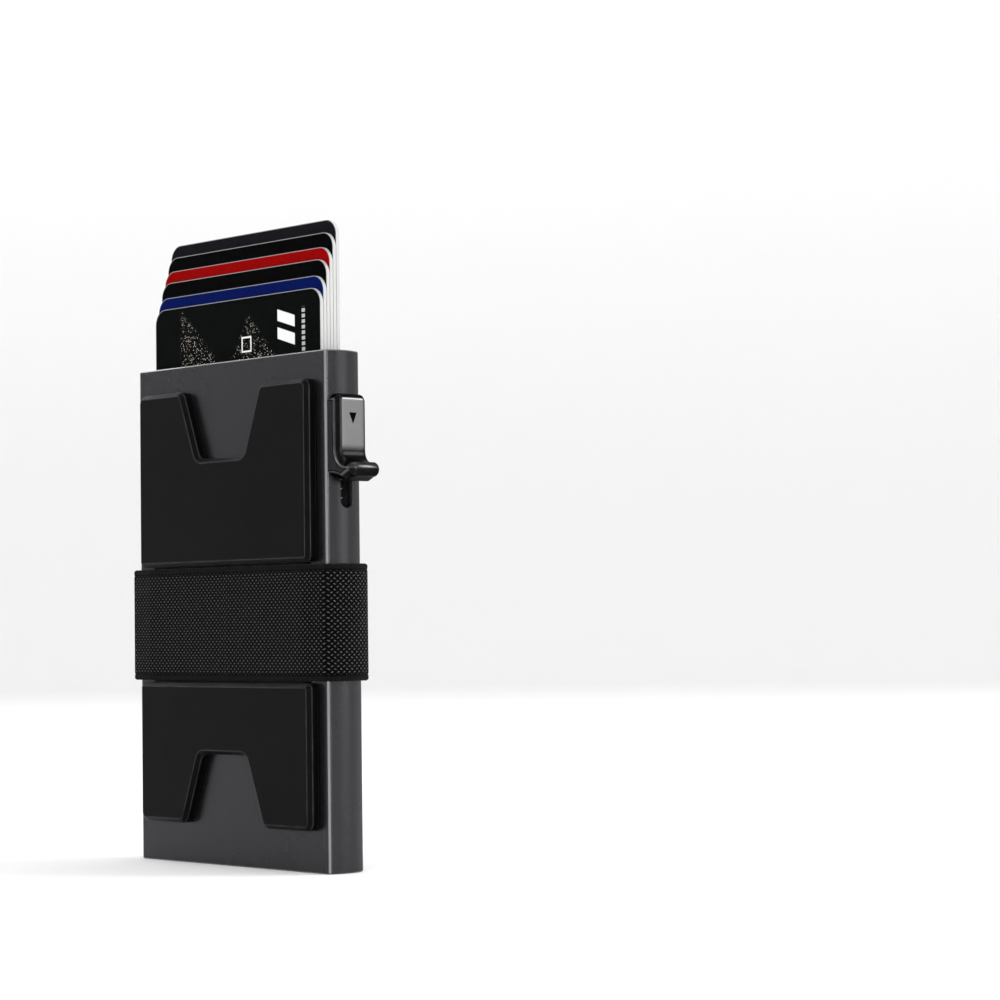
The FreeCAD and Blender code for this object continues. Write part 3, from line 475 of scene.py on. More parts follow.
def trigger_painted_light(tree, colour, rough, height):
    """Painted light by facing: the outward pad gets a painted highlight and a rougher satin, the end
    faces a painted lit grey, and the nose's upward top a painted highlight; bevels and sweep stay dark."""
    x, _, z = split(tree, object_place(tree))
    face_x, face_y, face_z = facing(tree)
    foot = button_high[2] - PAD_TALL
    above = spread(tree, z, (foot - 0.6) * MM, (foot + 1.2) * MM)
    pad = times(tree, spread(tree, face_x, 0.90, 0.99), above)
    side = spread(tree, maths(tree, "ABSOLUTE", face_y), 0.80, 0.98)
    nose = times(tree, spread(tree, x, (side_x + 3.8) * MM, (side_x + 5.2) * MM),
                 maths(tree, "SUBTRACT", 1.0, above), spread(tree, face_z, 0.0, 0.15))
    colour = blend_colour(tree, side, colour, SIDE_PAINTED_LIGHT)
    colour = blend_colour(tree, nose, colour, NOSE_PAINTED_HIGHLIGHT)
    colour = blend_colour(tree, pad, colour, PAD_PAINTED_HIGHLIGHT)
    return colour, spread(tree, pad, 0.0, 1.0, rough, 0.30), height


# %% Metals and plastics
gunmetal = finish("anodised gunmetal", (0.036, 0.036, 0.039), 0.27, metallic=0.85, specular=0.3,
                  grain=6500.0, grain_depth=0.003, variation=0.04, scuffs=0.008, dust=0.01, smudge=0.008,
                  base=case_edge_wear_and_highlight)
plate_black = finish("black anodised plate", (0.0022, 0.0022, 0.0023), 0.40, metallic=0.0, specular=0.05,
                     grain=5200.0, grain_depth=0.004, variation=0.08, scuffs=0.03, dust=0.01, edges=0.35)
trigger_black = finish("satin trigger with painted light", (0.007, 0.007, 0.0071), 0.22, metallic=0.85, specular=0.3,
                       grain=6500.0, grain_depth=0.003, variation=0.06, scuffs=0.03, dust=0.01, edges=0.8,
                       smudge=0.02, base=trigger_painted_light, extra={"Specular Tint": (0.2, 0.2, 0.2, 1.0)})
nylon = finish("moulded nylon", (0.020, 0.020, 0.021), 0.55, grain=2200.0, grain_depth=0.02)
rocker_nylon = finish("filled nylon", (0.055, 0.055, 0.058), 0.5, grain=1800.0, grain_depth=0.02)
steel = finish("drawn steel", (0.50, 0.50, 0.51), 0.32, metallic=1.0, grain=6000.0, grain_depth=0.006)
felt = finish("short felt", (0.035, 0.035, 0.037), 0.95, specular=0.1, grain=1500.0, grain_depth=0.25,
              variation=0.35, scuffs=0.0, extra={"Sheen Weight": 0.4, "Sheen Roughness": 0.6})

# %% Give the engineering nodes their finishes


def dress(node, material):
    """One material on every slot of a node."""
    mesh = nodes[node].data
    if not mesh.materials:
        mesh.materials.append(material)
    for index in range(len(mesh.materials)):
        mesh.materials[index] = material


FINISHES = {
    "case_shell": gunmetal, "cash_plate": plate_black, "trigger_button": trigger_black, "elastic_band": nylon,
    "inner_frame": nylon, "end_cap": nylon, "trigger_carriage": nylon, "rocker": rocker_nylon,
    "end_cap_screw_left": steel, "end_cap_screw_right": steel, "push_rod": steel,
    "return_spring": steel, "pivot_pin": steel, "drive_peg": steel,
    "front_liner": felt, "back_liner": felt,
}
for node_name, node_finish in FINISHES.items():
    dress(node_name, node_finish)
print("dressed", len(FINISHES))

# %% [markdown]
# ## Cards
#
# A bank card is a white core between printed films, so its cut edge shows as a pale line with
# dark borders.  The edge is picked by how far a point lies from the card's middle plane, and by
# the face's own direction; the back carries a dark stripe.  The front card also has two drifts
# of gold and silver specks, which are small cells of noise kept only inside two soft wedges.

# %% Card printing
CARD_ROUND = 3.18
RIM_IN, RIM_OUT, RIM_SHARE, RIM_COLOUR = 0.17, 0.09, 0.8, (0.36, 0.36, 0.37, 1.0)
STRIPE_LOW, STRIPE_HIGH, STRIPE_COLOUR = -23.0, -10.3, (0.035, 0.028, 0.024, 1.0)
CORE_COLOUR = (0.47, 0.47, 0.465, 1.0)


def border_distance(tree, x, z, low, high, corner):
    """Distance inside a rectangle with round corners, from its border; negative is outside."""
    middle = (low + high) / 2 * MM
    half = (high - low) / 2 * MM - corner * MM
    over_x = maths(tree, "MAXIMUM", maths(tree, "SUBTRACT", gap_from(tree, x, middle[0]), half[0]), 0.0)
    over_z = maths(tree, "MAXIMUM", maths(tree, "SUBTRACT", gap_from(tree, z, middle[2]), half[2]), 0.0)
    squared = maths(tree, "ADD", times(tree, over_x, over_x), times(tree, over_z, over_z))
    return maths(tree, "SUBTRACT", corner * MM, maths(tree, "SQRT", squared))


def card_pattern(node, specks):
    """Returns the function that `finish` calls for one card's printed faces and white edge."""
    low, high = card_boxes[node]
    middle = (low[1] + high[1]) / 2 * MM
    half = (high[1] - low[1]) / 2 * MM

    def pattern(tree, colour, rough, height):
        place = object_place(tree)
        x, y, z = split(tree, place)
        if specks:
            colour, rough = add_specks(tree, place, x, z, colour, rough)
            colour = add_marks(tree, x, z, colour)
        rim = border_distance(tree, x, z, low, high, CARD_ROUND)
        rim = spread(tree, rim, RIM_IN * MM, RIM_OUT * MM, 0.0, RIM_SHARE)
        colour = blend_colour(tree, rim, colour, RIM_COLOUR)
        face_y = facing(tree)[1]
        stripe = times(tree, spread(tree, x, STRIPE_LOW * MM, (STRIPE_LOW + 0.1) * MM),
                       spread(tree, x, STRIPE_HIGH * MM, (STRIPE_HIGH - 0.1) * MM),
                       spread(tree, face_y, 0.4, 0.6))
        colour = blend_colour(tree, stripe, colour, STRIPE_COLOUR)
        core = spread(tree, gap_from(tree, y, middle), half * 0.985, half * 0.93)
        edge = times(tree, core, spread(tree, maths(tree, "ABSOLUTE", face_y), 0.8, 0.5))
        colour = blend_colour(tree, edge, colour, CORE_COLOUR)
        rough = spread(tree, edge, 0.0, 1.0, rough, 0.6)
        return colour, rough, height

    return pattern


def between(tree, value, low, high, soft=0.06):
    """1 where low < value < high (millimetres against a metre value), with a soft border."""
    rise = spread(tree, value, (low - soft) * MM, (low + soft) * MM)
    return times(tree, rise, spread(tree, value, (high + soft) * MM, (high - soft) * MM))


SQUARE_X, SQUARE_Z, SQUARE_INNER, SQUARE_OUTER = 3.6, 105.2, 1.25, 1.60
BARS_LEAN, BARS_ACROSS, LOWER_BAR, UPPER_BAR = 0.30, (13.6, 19.0), (109.6, 111.9), (113.2, 115.5)
DASH_PITCH, DASHES_ACROSS, DASHES_ALONG = 1.1, (21.2, 22.2), (88.6, 111.3)
MARK_COLOUR, DASH_COLOUR = (0.78, 0.78, 0.78, 1.0), (0.42, 0.42, 0.43, 1.0)


def add_marks(tree, x, z, colour):
    """Plain marks: an outlined square, two bold leaning bars and a row of fine dashes."""
    off = maths(tree, "MAXIMUM", gap_from(tree, x, SQUARE_X * MM), gap_from(tree, z, SQUARE_Z * MM))
    colour = blend_colour(tree, between(tree, off, SQUARE_INNER, SQUARE_OUTER), colour, MARK_COLOUR)
    lean = maths(tree, "ADD", z, times(tree, x, BARS_LEAN))
    bars = maths(tree, "MAXIMUM", between(tree, lean, *LOWER_BAR), between(tree, lean, *UPPER_BAR))
    colour = blend_colour(tree, times(tree, between(tree, x, *BARS_ACROSS), bars), colour, MARK_COLOUR)
    phase = maths(tree, "ABSOLUTE", maths(tree, "SINE", times(tree, z, math.pi / (DASH_PITCH * MM))))
    dashes = times(tree, between(tree, x, *DASHES_ACROSS), spread(tree, phase, 0.45, 0.60),
                   between(tree, z, *DASHES_ALONG))
    return blend_colour(tree, dashes, colour, DASH_COLOUR)


WEDGE_LONG = 24.0
WEDGES = ((-18.4, 114.6, 0.02, 1.05), (4.2, 111.6, 0.62, 0.95))
GOLD, SILVER = (0.62, 0.52, 0.36, 1.0), (0.80, 0.80, 0.78, 1.0)


def add_specks(tree, place, x, z, colour, rough):
    """Gold and silver specks inside two leaning wedges.

    A wedge is the place of its tip and how fast its left and right sides part going down.
    """
    cells = tree.nodes.new("ShaderNodeTexVoronoi")
    cells.inputs["Scale"].default_value = 3100.0
    flat = tree.nodes.new("ShaderNodeCombineXYZ")
    feed(tree, x, flat.inputs[0])
    feed(tree, z, flat.inputs[2])
    tree.links.new(flat.outputs[0], cells.inputs["Vector"])
    dots = spread(tree, cells.outputs["Distance"], 0.34, 0.18)
    bright = split(tree, cells.outputs["Color"])
    drift = noise(tree, place, 330.0, 2.0)
    wedges = None
    for tip_x, tip_z, left_slope, right_slope in WEDGES:
        fall = maths(tree, "SUBTRACT", tip_z * MM, z)
        off = maths(tree, "SUBTRACT", x, tip_x * MM)
        left_room = maths(tree, "ADD", off, times(tree, fall, left_slope))
        right_room = maths(tree, "SUBTRACT", times(tree, fall, right_slope), off)
        inside = spread(tree, maths(tree, "MINIMUM", left_room, right_room), -0.3 * MM, 1.1 * MM)
        inside = times(tree, inside, spread(tree, fall, WEDGE_LONG * MM, 0.55 * WEDGE_LONG * MM))
        wedges = inside if wedges is None else maths(tree, "MAXIMUM", wedges, inside)
    keep = spread(tree, maths(tree, "ADD", bright[0], times(tree, drift, 0.8)), 0.90, 1.05)
    mask = times(tree, dots, keep, wedges)
    tint = blend_colour(tree, bright[1], GOLD, SILVER)
    return blend_colour(tree, mask, colour, tint), spread(tree, mask, 0.0, 1.0, rough, 0.35)


CARD_COLOURS = {
    "card_1": (0.0022, 0.0026, 0.0026), "card_2": (0.0008, 0.0060, 0.072), "card_3": (0.0006, 0.0006, 0.0008),
    "card_4": (0.235, 0.0006, 0.0008), "card_5": (0.0006, 0.0006, 0.0008), "card_6": (0.0065, 0.0068, 0.0090),
}
for card, card_colour in CARD_COLOURS.items():
    dress(card, finish(card + " print", card_colour, 0.40, specular=0.01, grain=2600.0, grain_depth=0.002,
                       variation=0.05, scuffs=0.02, dust=0.0, base=card_pattern(card, card == "card_1")))
print("cards", list(CARD_COLOURS))

# %% [markdown]
# ## Cash plate
#
# The plate is a stamped and bevelled sheet with a thumb notch at each end and a thin waist that
# the band sits in.  An engineering chamfer has knife edges; a real one is softly broken, and the
# break is what shines.  So the plate is laid out again: its outline with round corners is carried
# inwards and forwards along an edge profile, which is one row of the grid for each step of the
# profile.  The outline has the same places and radii as the engineering plate.

# %% An outline with round corners


def round_outline(corners, steps=10, straight=6):
    """Points and outward normals of a closed polygon whose corners are (x, z, radius).

    Listed anticlockwise.  A corner of radius r turning by an angle t starts r * tan(t / 2) before
    the corner; its centre lies r to the inside.  A point is centre + r * normal, so that moving a
    point along its normal offsets the whole outline evenly.  Straight runs get `straight` points.
    """
    place = np.array([corner[:2] for corner in corners], float)
    radius = np.array([corner[2] for corner in corners], float)
    into = place - np.roll(place, 1, 0)
    into /= np.linalg.norm(into, axis=1, keepdims=True)
    out = np.roll(into, -1, 0)
    side = np.stack([into[:, 1], -into[:, 0]], 1)
    turn_by = np.arctan2(into[:, 0] * out[:, 1] - into[:, 1] * out[:, 0], (into * out).sum(1))
    reach = radius * np.tan(np.abs(turn_by) / 2)
    centre = place - into * reach[:, None] - side * (radius * np.sign(turn_by))[:, None]
    share = np.linspace(0, 1, steps)[None, :] * turn_by[:, None]
    normals = np.stack([
        side[:, :1] * np.cos(share) - side[:, 1:] * np.sin(share),
        side[:, :1] * np.sin(share) + side[:, 1:] * np.cos(share),
    ], -1)
    arcs = centre[:, None] + normals * (radius * np.sign(turn_by))[:, None, None]
    after = np.roll(arcs, -1, 0)[:, :1]
    along = np.linspace(0, 1, straight + 2)[1:-1]
    runs = arcs[:, -1:] + (after - arcs[:, -1:]) * along[None, :, None]
    run_normals = np.repeat(normals[:, -1:], straight, 1)
    points = np.concatenate([arcs, runs], 1).reshape(-1, 2)
    return points, np.concatenate([normals, run_normals], 1).reshape(-1, 2)


def edge_profile(breaks, soft, steps=5):
    """A run of straight segments with each inner corner rounded off over `soft` millimetres.

    A corner is replaced by the parabola through the two points that lie `soft` before and after
    it, with the corner as the point that its ends aim at.
    """
    breaks = np.array(breaks, float)
    inner, before, after = breaks[1:-1], breaks[:-2], breaks[2:]
    start = inner + (before - inner) * (soft / np.linalg.norm(before - inner, axis=1))[:, None]
    end = inner + (after - inner) * (soft / np.linalg.norm(after - inner, axis=1))[:, None]
    share = np.linspace(0, 1, steps)[None, :, None]
    bends = (start[:, None] * (1 - share) ** 2 + 2 * inner[:, None] * share * (1 - share)
             + end[:, None] * share ** 2)
    return np.concatenate([breaks[:1], bends.reshape(-1, 2), breaks[-1:]])

# %% The plate's two halves and its waist
PLATE_BEVEL, PLATE_BREAK = 0.85, 0.16
BACK_BORDER, FRONT_BORDER = 0.6, 0.25
NOTCH_MOUTH, NOTCH_FLOOR, NOTCH_DEEP, NOTCH_ROUND = 25.5, 14.8, 14.2, 2.0
PLATE_ROUND, WAIST_ROUND, BAND_RECESS = 1.8, 1.2, 0.4
plate_back_y, plate_front_y = plate_high[1], plate_low[1]
plate_side = plate_high[0]
recess_low, recess_high = band_low[2] - BAND_RECESS, band_high[2] + BAND_RECESS


def edge_weight(bends, steps=5):
    """1 in the middle of each rounded-off corner of an edge profile, 0 at its ends."""
    return np.concatenate([[0.0], np.tile(np.sin(np.linspace(0, np.pi, steps)), bends), [0.0]])


def plate_half(top):
    """Grid of one half: the outline is the columns, the edge profile is the rows."""
    end, waist = (plate_high[2], recess_high) if top else (plate_low[2], recess_low)
    sign = 1 if top else -1
    corners = [
        (plate_side, waist, WAIST_ROUND), (plate_side, end, PLATE_ROUND),
        (NOTCH_MOUTH / 2, end, NOTCH_ROUND), (NOTCH_FLOOR / 2, end - sign * NOTCH_DEEP, NOTCH_ROUND),
        (-NOTCH_FLOOR / 2, end - sign * NOTCH_DEEP, NOTCH_ROUND), (-NOTCH_MOUTH / 2, end, NOTCH_ROUND),
        (-plate_side, end, PLATE_ROUND), (-plate_side, waist, WAIST_ROUND),
    ]
    points, normals = round_outline(corners if top else corners[::-1])
    profile = edge_profile([
        (BACK_BORDER, plate_back_y), (0.0, plate_back_y), (0.0, plate_front_y + PLATE_BEVEL),
        (PLATE_BEVEL, plate_front_y), (PLATE_BEVEL + FRONT_BORDER, plate_front_y),
    ], PLATE_BREAK)
    inset = profile[:, 0][:, None, None] * normals[None]
    flat = points[None] - inset
    level = np.broadcast_to(profile[:, 1][:, None], flat.shape[:2])
    return np.stack([flat[..., 0], level, flat[..., 1]], -1)


# The breaks of the plate's bevel carry a painted highlight, partly rubbed wear.
upper, lower = (
    skin("cash_plate_" + name, plate_half(top), plate_black, wrap_columns=True, caps=True,
         edge=edge_weight(3)[:, None])
    for name, top in (("upper", True), ("lower", False))
)
WAIST_HALF, WAIST_THICK, WAIST_CORNER, WAIST_UNDER, WAIST_LIFT = 24.6, 0.55, 0.1, 1.5, 0.02
waist_low, waist_high = recess_low - WAIST_UNDER, recess_high + WAIST_UNDER
waist_points, _ = round_outline([
    (WAIST_HALF, waist_low, WAIST_CORNER), (WAIST_HALF, waist_high, WAIST_CORNER),
    (-WAIST_HALF, waist_high, WAIST_CORNER), (-WAIST_HALF, waist_low, WAIST_CORNER),
], steps=3, straight=2)
waist_levels = np.array([plate_back_y - WAIST_LIFT, plate_back_y - WAIST_THICK])
waist_grid = np.stack(
    np.broadcast_arrays(waist_points[:, 0], waist_levels[:, None], waist_points[:, 1]), -1)
waist = skin("cash_plate_waist", waist_grid, plate_black, wrap_columns=True, caps=True)
for plate_piece in (upper, lower, waist):
    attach(plate_piece, "plate")
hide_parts("cash_plate")
print("plate", [len(piece.data.polygons) for piece in (upper, lower, waist)], "faces")

# %% [markdown]
# ## Trigger button
#
# A small die-cast or moulded button: a flat pad with an engraved arrow, a hollow sweep below it
# and a nose to hook a thumb on, all with soft broken edges.  The side outline is carried across
# the button's width; towards each end it shrinks along a soft bevel.  The points that would
# enter the case are laid on the case's own bow, a hair away from it.

# %% The button as one grid
BUTTON_GAP, BUTTON_BEVEL, BUTTON_BREAK = 0.25, 1.1, 0.45
END_BORDER, INNER_Y = 0.28, 2.0
KEEL_REACH, HEEL_RISE = 3.15, 0.78
PAD_STAND, PAD_ROUND, SWEEP_ROUND = 2.1, 1.4, 2.6
NOSE_REACH, NOSE_ROUND, NOSE_CROWN = 6.6, 1.45, 0.5
ARROW_DROP, ARROW_WIDE, ARROW_TALL, ARROW_DEEP = 4.8, 1.7, 2.0, 0.25
button_top, button_foot = button_high[2], button_low[2]
button_half = button_high[1]
pad_x = side_x + PAD_STAND
sweep_z = button_top - PAD_TALL
nose_x = side_x + NOSE_REACH - NOSE_ROUND
nose_z = sweep_z - SWEEP_ROUND - NOSE_ROUND


def arc(centre_x, centre_z, radius, from_degrees, to_degrees, steps, outward=1):
    """Points of an arc and their normals; outward is -1 where the outline is hollow."""
    angle = np.radians(np.linspace(from_degrees, to_degrees, steps))
    ring = np.stack([np.cos(angle), np.sin(angle)], 1)
    return np.array([centre_x, centre_z]) + radius * ring, outward * ring


def run(start, end, normal, steps):
    """Points of a straight run, without its ends, and their normal."""
    share = np.linspace(0, 1, steps + 2)[1:-1, None]
    return np.array(start) + (np.array(end) - np.array(start)) * share, np.tile(normal, (steps, 1))


clear_x = side_x + BUTTON_GAP + 0.1
keel = np.array([side_x + KEEL_REACH, button_foot])
heel = np.array([clear_x, button_foot + HEEL_RISE])
heel_normal = np.array([heel[1] - keel[1], heel[0] - keel[0]]) * (-1, 1)
heel_normal /= np.linalg.norm(heel_normal)
arrow_z = button_top - ARROW_DROP
pieces = [
    (heel[None], heel_normal[None]),
    run(heel, keel, heel_normal, 6),
    run(keel, (nose_x, nose_z - NOSE_ROUND), (0.10, -0.995), 8),
    arc(nose_x, nose_z, NOSE_ROUND, -88, 90, 22),
    run((nose_x, nose_z + NOSE_ROUND), (pad_x + SWEEP_ROUND, nose_z + NOSE_ROUND), (0.0, 1.0), 1),
    arc(pad_x + SWEEP_ROUND, sweep_z, SWEEP_ROUND, 270, 180, 20, outward=-1),
    run((pad_x, sweep_z), (pad_x, arrow_z - 1.3), (1.0, 0.0), 8),
    run((pad_x, arrow_z - 1.3), (pad_x, arrow_z + 1.3), (1.0, 0.0), 44),
    run((pad_x, arrow_z + 1.3), (pad_x, button_top - PAD_ROUND), (1.0, 0.0), 4),
    arc(pad_x - PAD_ROUND, button_top - PAD_ROUND, PAD_ROUND, 0, 90, 14),
    (np.array([[clear_x, button_top]]), np.array([[0.0, 1.0]])),
]
outline_points = np.concatenate([points for points, _ in pieces])
outline_normals = np.concatenate([normals for _, normals in pieces])
end_profile = edge_profile([
    (BUTTON_BEVEL + END_BORDER, -button_half), (BUTTON_BEVEL, -button_half),
    (0.0, -button_half + BUTTON_BEVEL), (0.0, -INNER_Y),
], BUTTON_BREAK)
middle_y = np.linspace(-1.0, 1.0, 34)
side_y = np.array([-1.7, -1.3])
across = np.concatenate([end_profile[:, 1], side_y, middle_y, -side_y[::-1], -end_profile[::-1, 1]])
inset = np.concatenate([end_profile[:, 0], np.zeros(len(middle_y) + 4), end_profile[::-1, 0]])
button_xz = outline_points[None] - inset[:, None, None] * outline_normals[None]
down = (button_xz[..., 1] - (arrow_z - ARROW_TALL / 2)) / ARROW_TALL
half_here = ARROW_WIDE / 2 * down
in_arrow = smooth_step(-0.06, 0.06, half_here - np.abs(across)[:, None]) * smooth_step(1.03, 0.97, down)
in_arrow = in_arrow * (np.abs(button_xz[..., 0] - pad_x) < 0.01) * (down > 0)
crown = NOSE_CROWN * np.clip((outline_points[:, 0] - pad_x) / (nose_x - pad_x), 0, 1)
crown = crown * (outline_points[:, 1] < sweep_z)
crown = crown[None] * (across[:, None] / button_half) ** 2
button_grid = np.stack([
    button_xz[..., 0] - ARROW_DEEP * in_arrow - crown,
    np.broadcast_to(across[:, None], button_xz.shape[:2]), button_xz[..., 1],
], -1)
case_x = bow_x + np.sqrt((bow_radius + BUTTON_GAP) ** 2 - across ** 2)
button_grid[:, [0, -1], 0] = case_x[:, None]
# The end's edge weights: a painted highlight, partly wear, full where the end face meets the bevel and weak
# where the bevel meets the pad; the engraved arrow is painted dark as shade.
BORDER_WEAR_HIGHLIGHT = 0.15
end_edge = edge_weight(2) * np.repeat([1.0, BORDER_WEAR_HIGHLIGHT], 6)
button_edge = np.concatenate([end_edge, np.zeros(len(middle_y) + 4), end_edge[::-1]])[:, None] - in_arrow
button = skin("trigger_button_skin", button_grid, trigger_black, wrap_columns=True, caps=True,
              edge=button_edge, smooth_angle=40)
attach(button, "trigger")
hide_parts("trigger_button")
print("button", len(button.data.polygons), "faces, from", button_grid.min((0, 1)).round(2),
      "to", button_grid.max((0, 1)).round(2))

# %% [markdown]
# ## Elastic band
#
# Woven elastic webbing: a wide field of fine ribs between two corded edges, sewn into a loop with
# its ends lapped at the back.  Seen from above it runs straight over the plate, bends round the
# case and follows both bowed sides.  Its grid has the loop as one direction and the outline of
# the webbing's section as the other.  The weave itself is finer than a mesh should carry, so it
# comes from the cloth map, which holds millimetres along and across the webbing.

# %% The weave as a group
CORD_PITCH, CORD_HEIGHT = 0.26, 0.15


def make_weave_group():
    """Plain weave: the product of two sines is a hump over each crossing, up for one yarn and
    down for the other; the humps lean one way in one row and the other way in the next."""
    tree, given, out = new_group("elastic weave", [
        ("Pitch along", 0.6), ("Pitch across", 0.55), ("Lean", 0.25), ("Half width", 11.45), ("Edge", 1.2),
    ], ["Height", "Float", "Cord", "Seam"])
    cloth = tree.nodes.new("ShaderNodeUVMap")
    cloth.uv_map = "cloth"
    along, across, _ = split(tree, cloth.outputs["UV"])
    v = maths(tree, "DIVIDE", across, given.outputs["Pitch across"])
    wave = maths(tree, "COSINE", times(tree, v, math.pi))
    lean = times(tree, wave, given.outputs["Lean"])
    u = maths(tree, "ADD", maths(tree, "DIVIDE", along, given.outputs["Pitch along"]), lean)
    product = times(tree, maths(tree, "SINE", times(tree, u, math.pi)),
                    maths(tree, "SINE", times(tree, v, math.pi)))
    from_middle = maths(tree, "ABSOLUTE", across)
    inner = maths(tree, "SUBTRACT", given.outputs["Half width"], given.outputs["Edge"])
    cord = spread(tree, maths(tree, "SUBTRACT", from_middle, inner), -0.05, 0.15)
    ribs = times(tree, maths(tree, "SINE", times(tree, along, math.pi / CORD_PITCH)), CORD_HEIGHT)
    # The line by each cord is a painted shade for the groove there.
    groove_shade = spread(tree, maths(tree, "ABSOLUTE", maths(tree, "SUBTRACT", from_middle, inner)), 0.26, 0.10)
    field = maths(tree, "ADD", times(tree, product, 0.5), 0.5)
    field_in = times(tree, field, maths(tree, "SUBTRACT", 1.0, cord))
    tree.links.new(maths(tree, "ADD", field_in, times(tree, ribs, cord)), out.inputs["Height"])
    floats = times(tree, spread(tree, product, 0.35, 0.95), maths(tree, "SUBTRACT", 1.0, cord))
    tree.links.new(floats, out.inputs["Float"])
    tree.links.new(cord, out.inputs["Cord"])
    tree.links.new(groove_shade, out.inputs["Seam"])
    return tree


weave_group = make_weave_group()

# %% The webbing's finish
webbing, web_tree, web_shader = new_material("elastic webbing", specular=0.02)
weave = place_group(web_tree, weave_group)
lint = place_group(web_tree, dust_group, Amount=0.10)
fibres = place_group(web_tree, grain_group, Scale=5000.0)
YARN_HOLLOW_SHADE, YARN_TOP = (0.0006, 0.0006, 0.0007, 1.0), (0.085, 0.085, 0.090, 1.0)
# The weave's low points are painted near black as shade.
yarn = blend_colour(web_tree, weave.outputs["Float"], YARN_HOLLOW_SHADE, YARN_TOP)
yarn = blend_colour(web_tree, weave.outputs["Cord"], yarn, (0.0045, 0.0045, 0.0048, 1.0))
# A near-black painted shade line runs along the groove by each cord.
yarn = blend_colour(web_tree, weave.outputs["Seam"], yarn, (0.0005, 0.0005, 0.0005, 1.0))
yarn = blend_colour(web_tree, times(web_tree, fibres.outputs["Mask"], 0.35), yarn,
                    (0.004, 0.004, 0.004, 1.0))
yarn = blend_colour(web_tree, lint.outputs["Mask"], yarn, (0.30, 0.30, 0.30, 1.0))
feed(web_tree, yarn, web_shader.inputs["Base Color"])
feed(web_tree, spread(web_tree, weave.outputs["Float"], 0.0, 1.0, 0.85, 0.60),
     web_shader.inputs["Roughness"])
feed(web_tree, bump(web_tree, weave.outputs["Height"], 0.8, 0.18), web_shader.inputs["Normal"])
web_shader.inputs["Sheen Weight"].default_value = 0.03
web_shader.inputs["Sheen Roughness"].default_value = 0.5

# %% The loop's path, seen from above
BAND_THICK, BAND_GAP, BAND_SLACK_X = 1.4, 0.1, 24.8
half_band = BAND_THICK / 2
front_y = band_low[1] + half_band
turn_x = side_x - SIDE_BOW + BAND_GAP
turn_y = half_deep + BAND_GAP
hug_radius = (turn_y ** 2 + SIDE_BOW ** 2) / (2 * SIDE_BOW)
hug_x = side_x + BAND_GAP - hug_radius
hug_angle = math.degrees(math.asin(turn_y / hug_radius))
slope_angle = math.degrees(math.atan2(turn_y + half_band + front_y, turn_x - BAND_SLACK_X))
slope_normal = (-math.sin(math.radians(slope_angle)), -math.cos(math.radians(slope_angle)))
right_side = [
    run((0.0, front_y), (BAND_SLACK_X, front_y), (0.0, -1.0), 60),
    run((BAND_SLACK_X, front_y), (turn_x, -turn_y - half_band), (-slope_normal[0], slope_normal[1]), 16),
    arc(turn_x, -turn_y, half_band, -90 - slope_angle, -hug_angle, 7),
    arc(hug_x, 0.0, hug_radius + half_band, -hug_angle, hug_angle, 34),
    arc(turn_x, turn_y, half_band, hug_angle, 90, 7),
    run((turn_x, turn_y + half_band), (0.0, turn_y + half_band), (0.0, 1.0), 104),
]
right_points = np.concatenate([points for points, _ in right_side])
right_normals = np.concatenate([normals for _, normals in right_side])
mirror = np.array([-1.0, 1.0])
path_points = np.concatenate([right_points, (right_points * mirror)[::-1]])
path_normals = np.concatenate([right_normals, (right_normals * mirror)[::-1]])
steps = np.linalg.norm(np.roll(path_points, -1, 0) - path_points, axis=1)
travelled = np.concatenate([[0.0], np.cumsum(steps)])

# %% The webbing's section, and the band
CORD_WIDE, GROOVE_DEEP, LAP_HALF, LAP_THICK = 1.2, 0.12, 7.0, 0.9
EDGE_TURN, FACE_DROP, EDGE_DROP, INNER_LIFT = 0.45, 0.22, 0.20, 0.02
half_high = (band_high[2] - band_low[2]) / 2
middle_z = (band_high[2] + band_low[2]) / 2
rise = np.concatenate([
    np.linspace(-1, -0.86, 12), np.linspace(-0.85, 0.85, 24), np.linspace(0.86, 1, 12),
]) * (half_high - EDGE_TURN)
from_edge = half_high - np.abs(rise)
groove = np.exp(-((from_edge - CORD_WIDE) / 0.16) ** 2)
outer = half_band - FACE_DROP - GROOVE_DEEP * groove
turn_angle = np.radians(np.linspace(90, -90, 9))[1:-1]
edge_out = (half_band - EDGE_DROP) * np.sin(turn_angle)
edge_up = EDGE_TURN * np.cos(turn_angle)
INNER_POINTS = [-1, -7, 30, 17, 6, 0]
inner_rise = rise[INNER_POINTS]
inner_out = np.full(len(INNER_POINTS), INNER_LIFT - half_band)
section_out = np.concatenate([outer, edge_out, inner_out, -edge_out])
section_up = np.concatenate([
    rise, half_high - EDGE_TURN + edge_up, inner_rise, EDGE_TURN - half_high - edge_up,
])
is_outer = np.concatenate([
    np.ones(len(outer)), np.clip(edge_out / half_band, 0, 1), np.zeros(len(INNER_POINTS)),
    np.clip(-edge_out / half_band, 0, 1),
])
at_back = path_points[:, 1] > half_deep
lap = smooth_step(LAP_HALF + 0.15, LAP_HALF - 0.15, np.abs(path_points[:, 0])) * at_back * LAP_THICK
LOOP_HIGH, LOOP_PITCH = 0.05, 1.15
loops = LOOP_HIGH * np.sin(2 * np.pi * travelled[:-1] / LOOP_PITCH)
near_edge = smooth_step(half_high - 0.9, half_high - 0.2, np.abs(section_up)) * np.sign(section_up)
away = section_out[None] + lap[:, None] * is_outer[None]
height = section_up[None] + loops[:, None] * near_edge[None]
band_grid = np.stack([
    path_points[:, :1] + path_normals[:, :1] * away,
    path_points[:, 1:] + path_normals[:, 1:] * away,
    middle_z + height,
], -1)
section_far = np.concatenate([section_up, section_up[:1]])
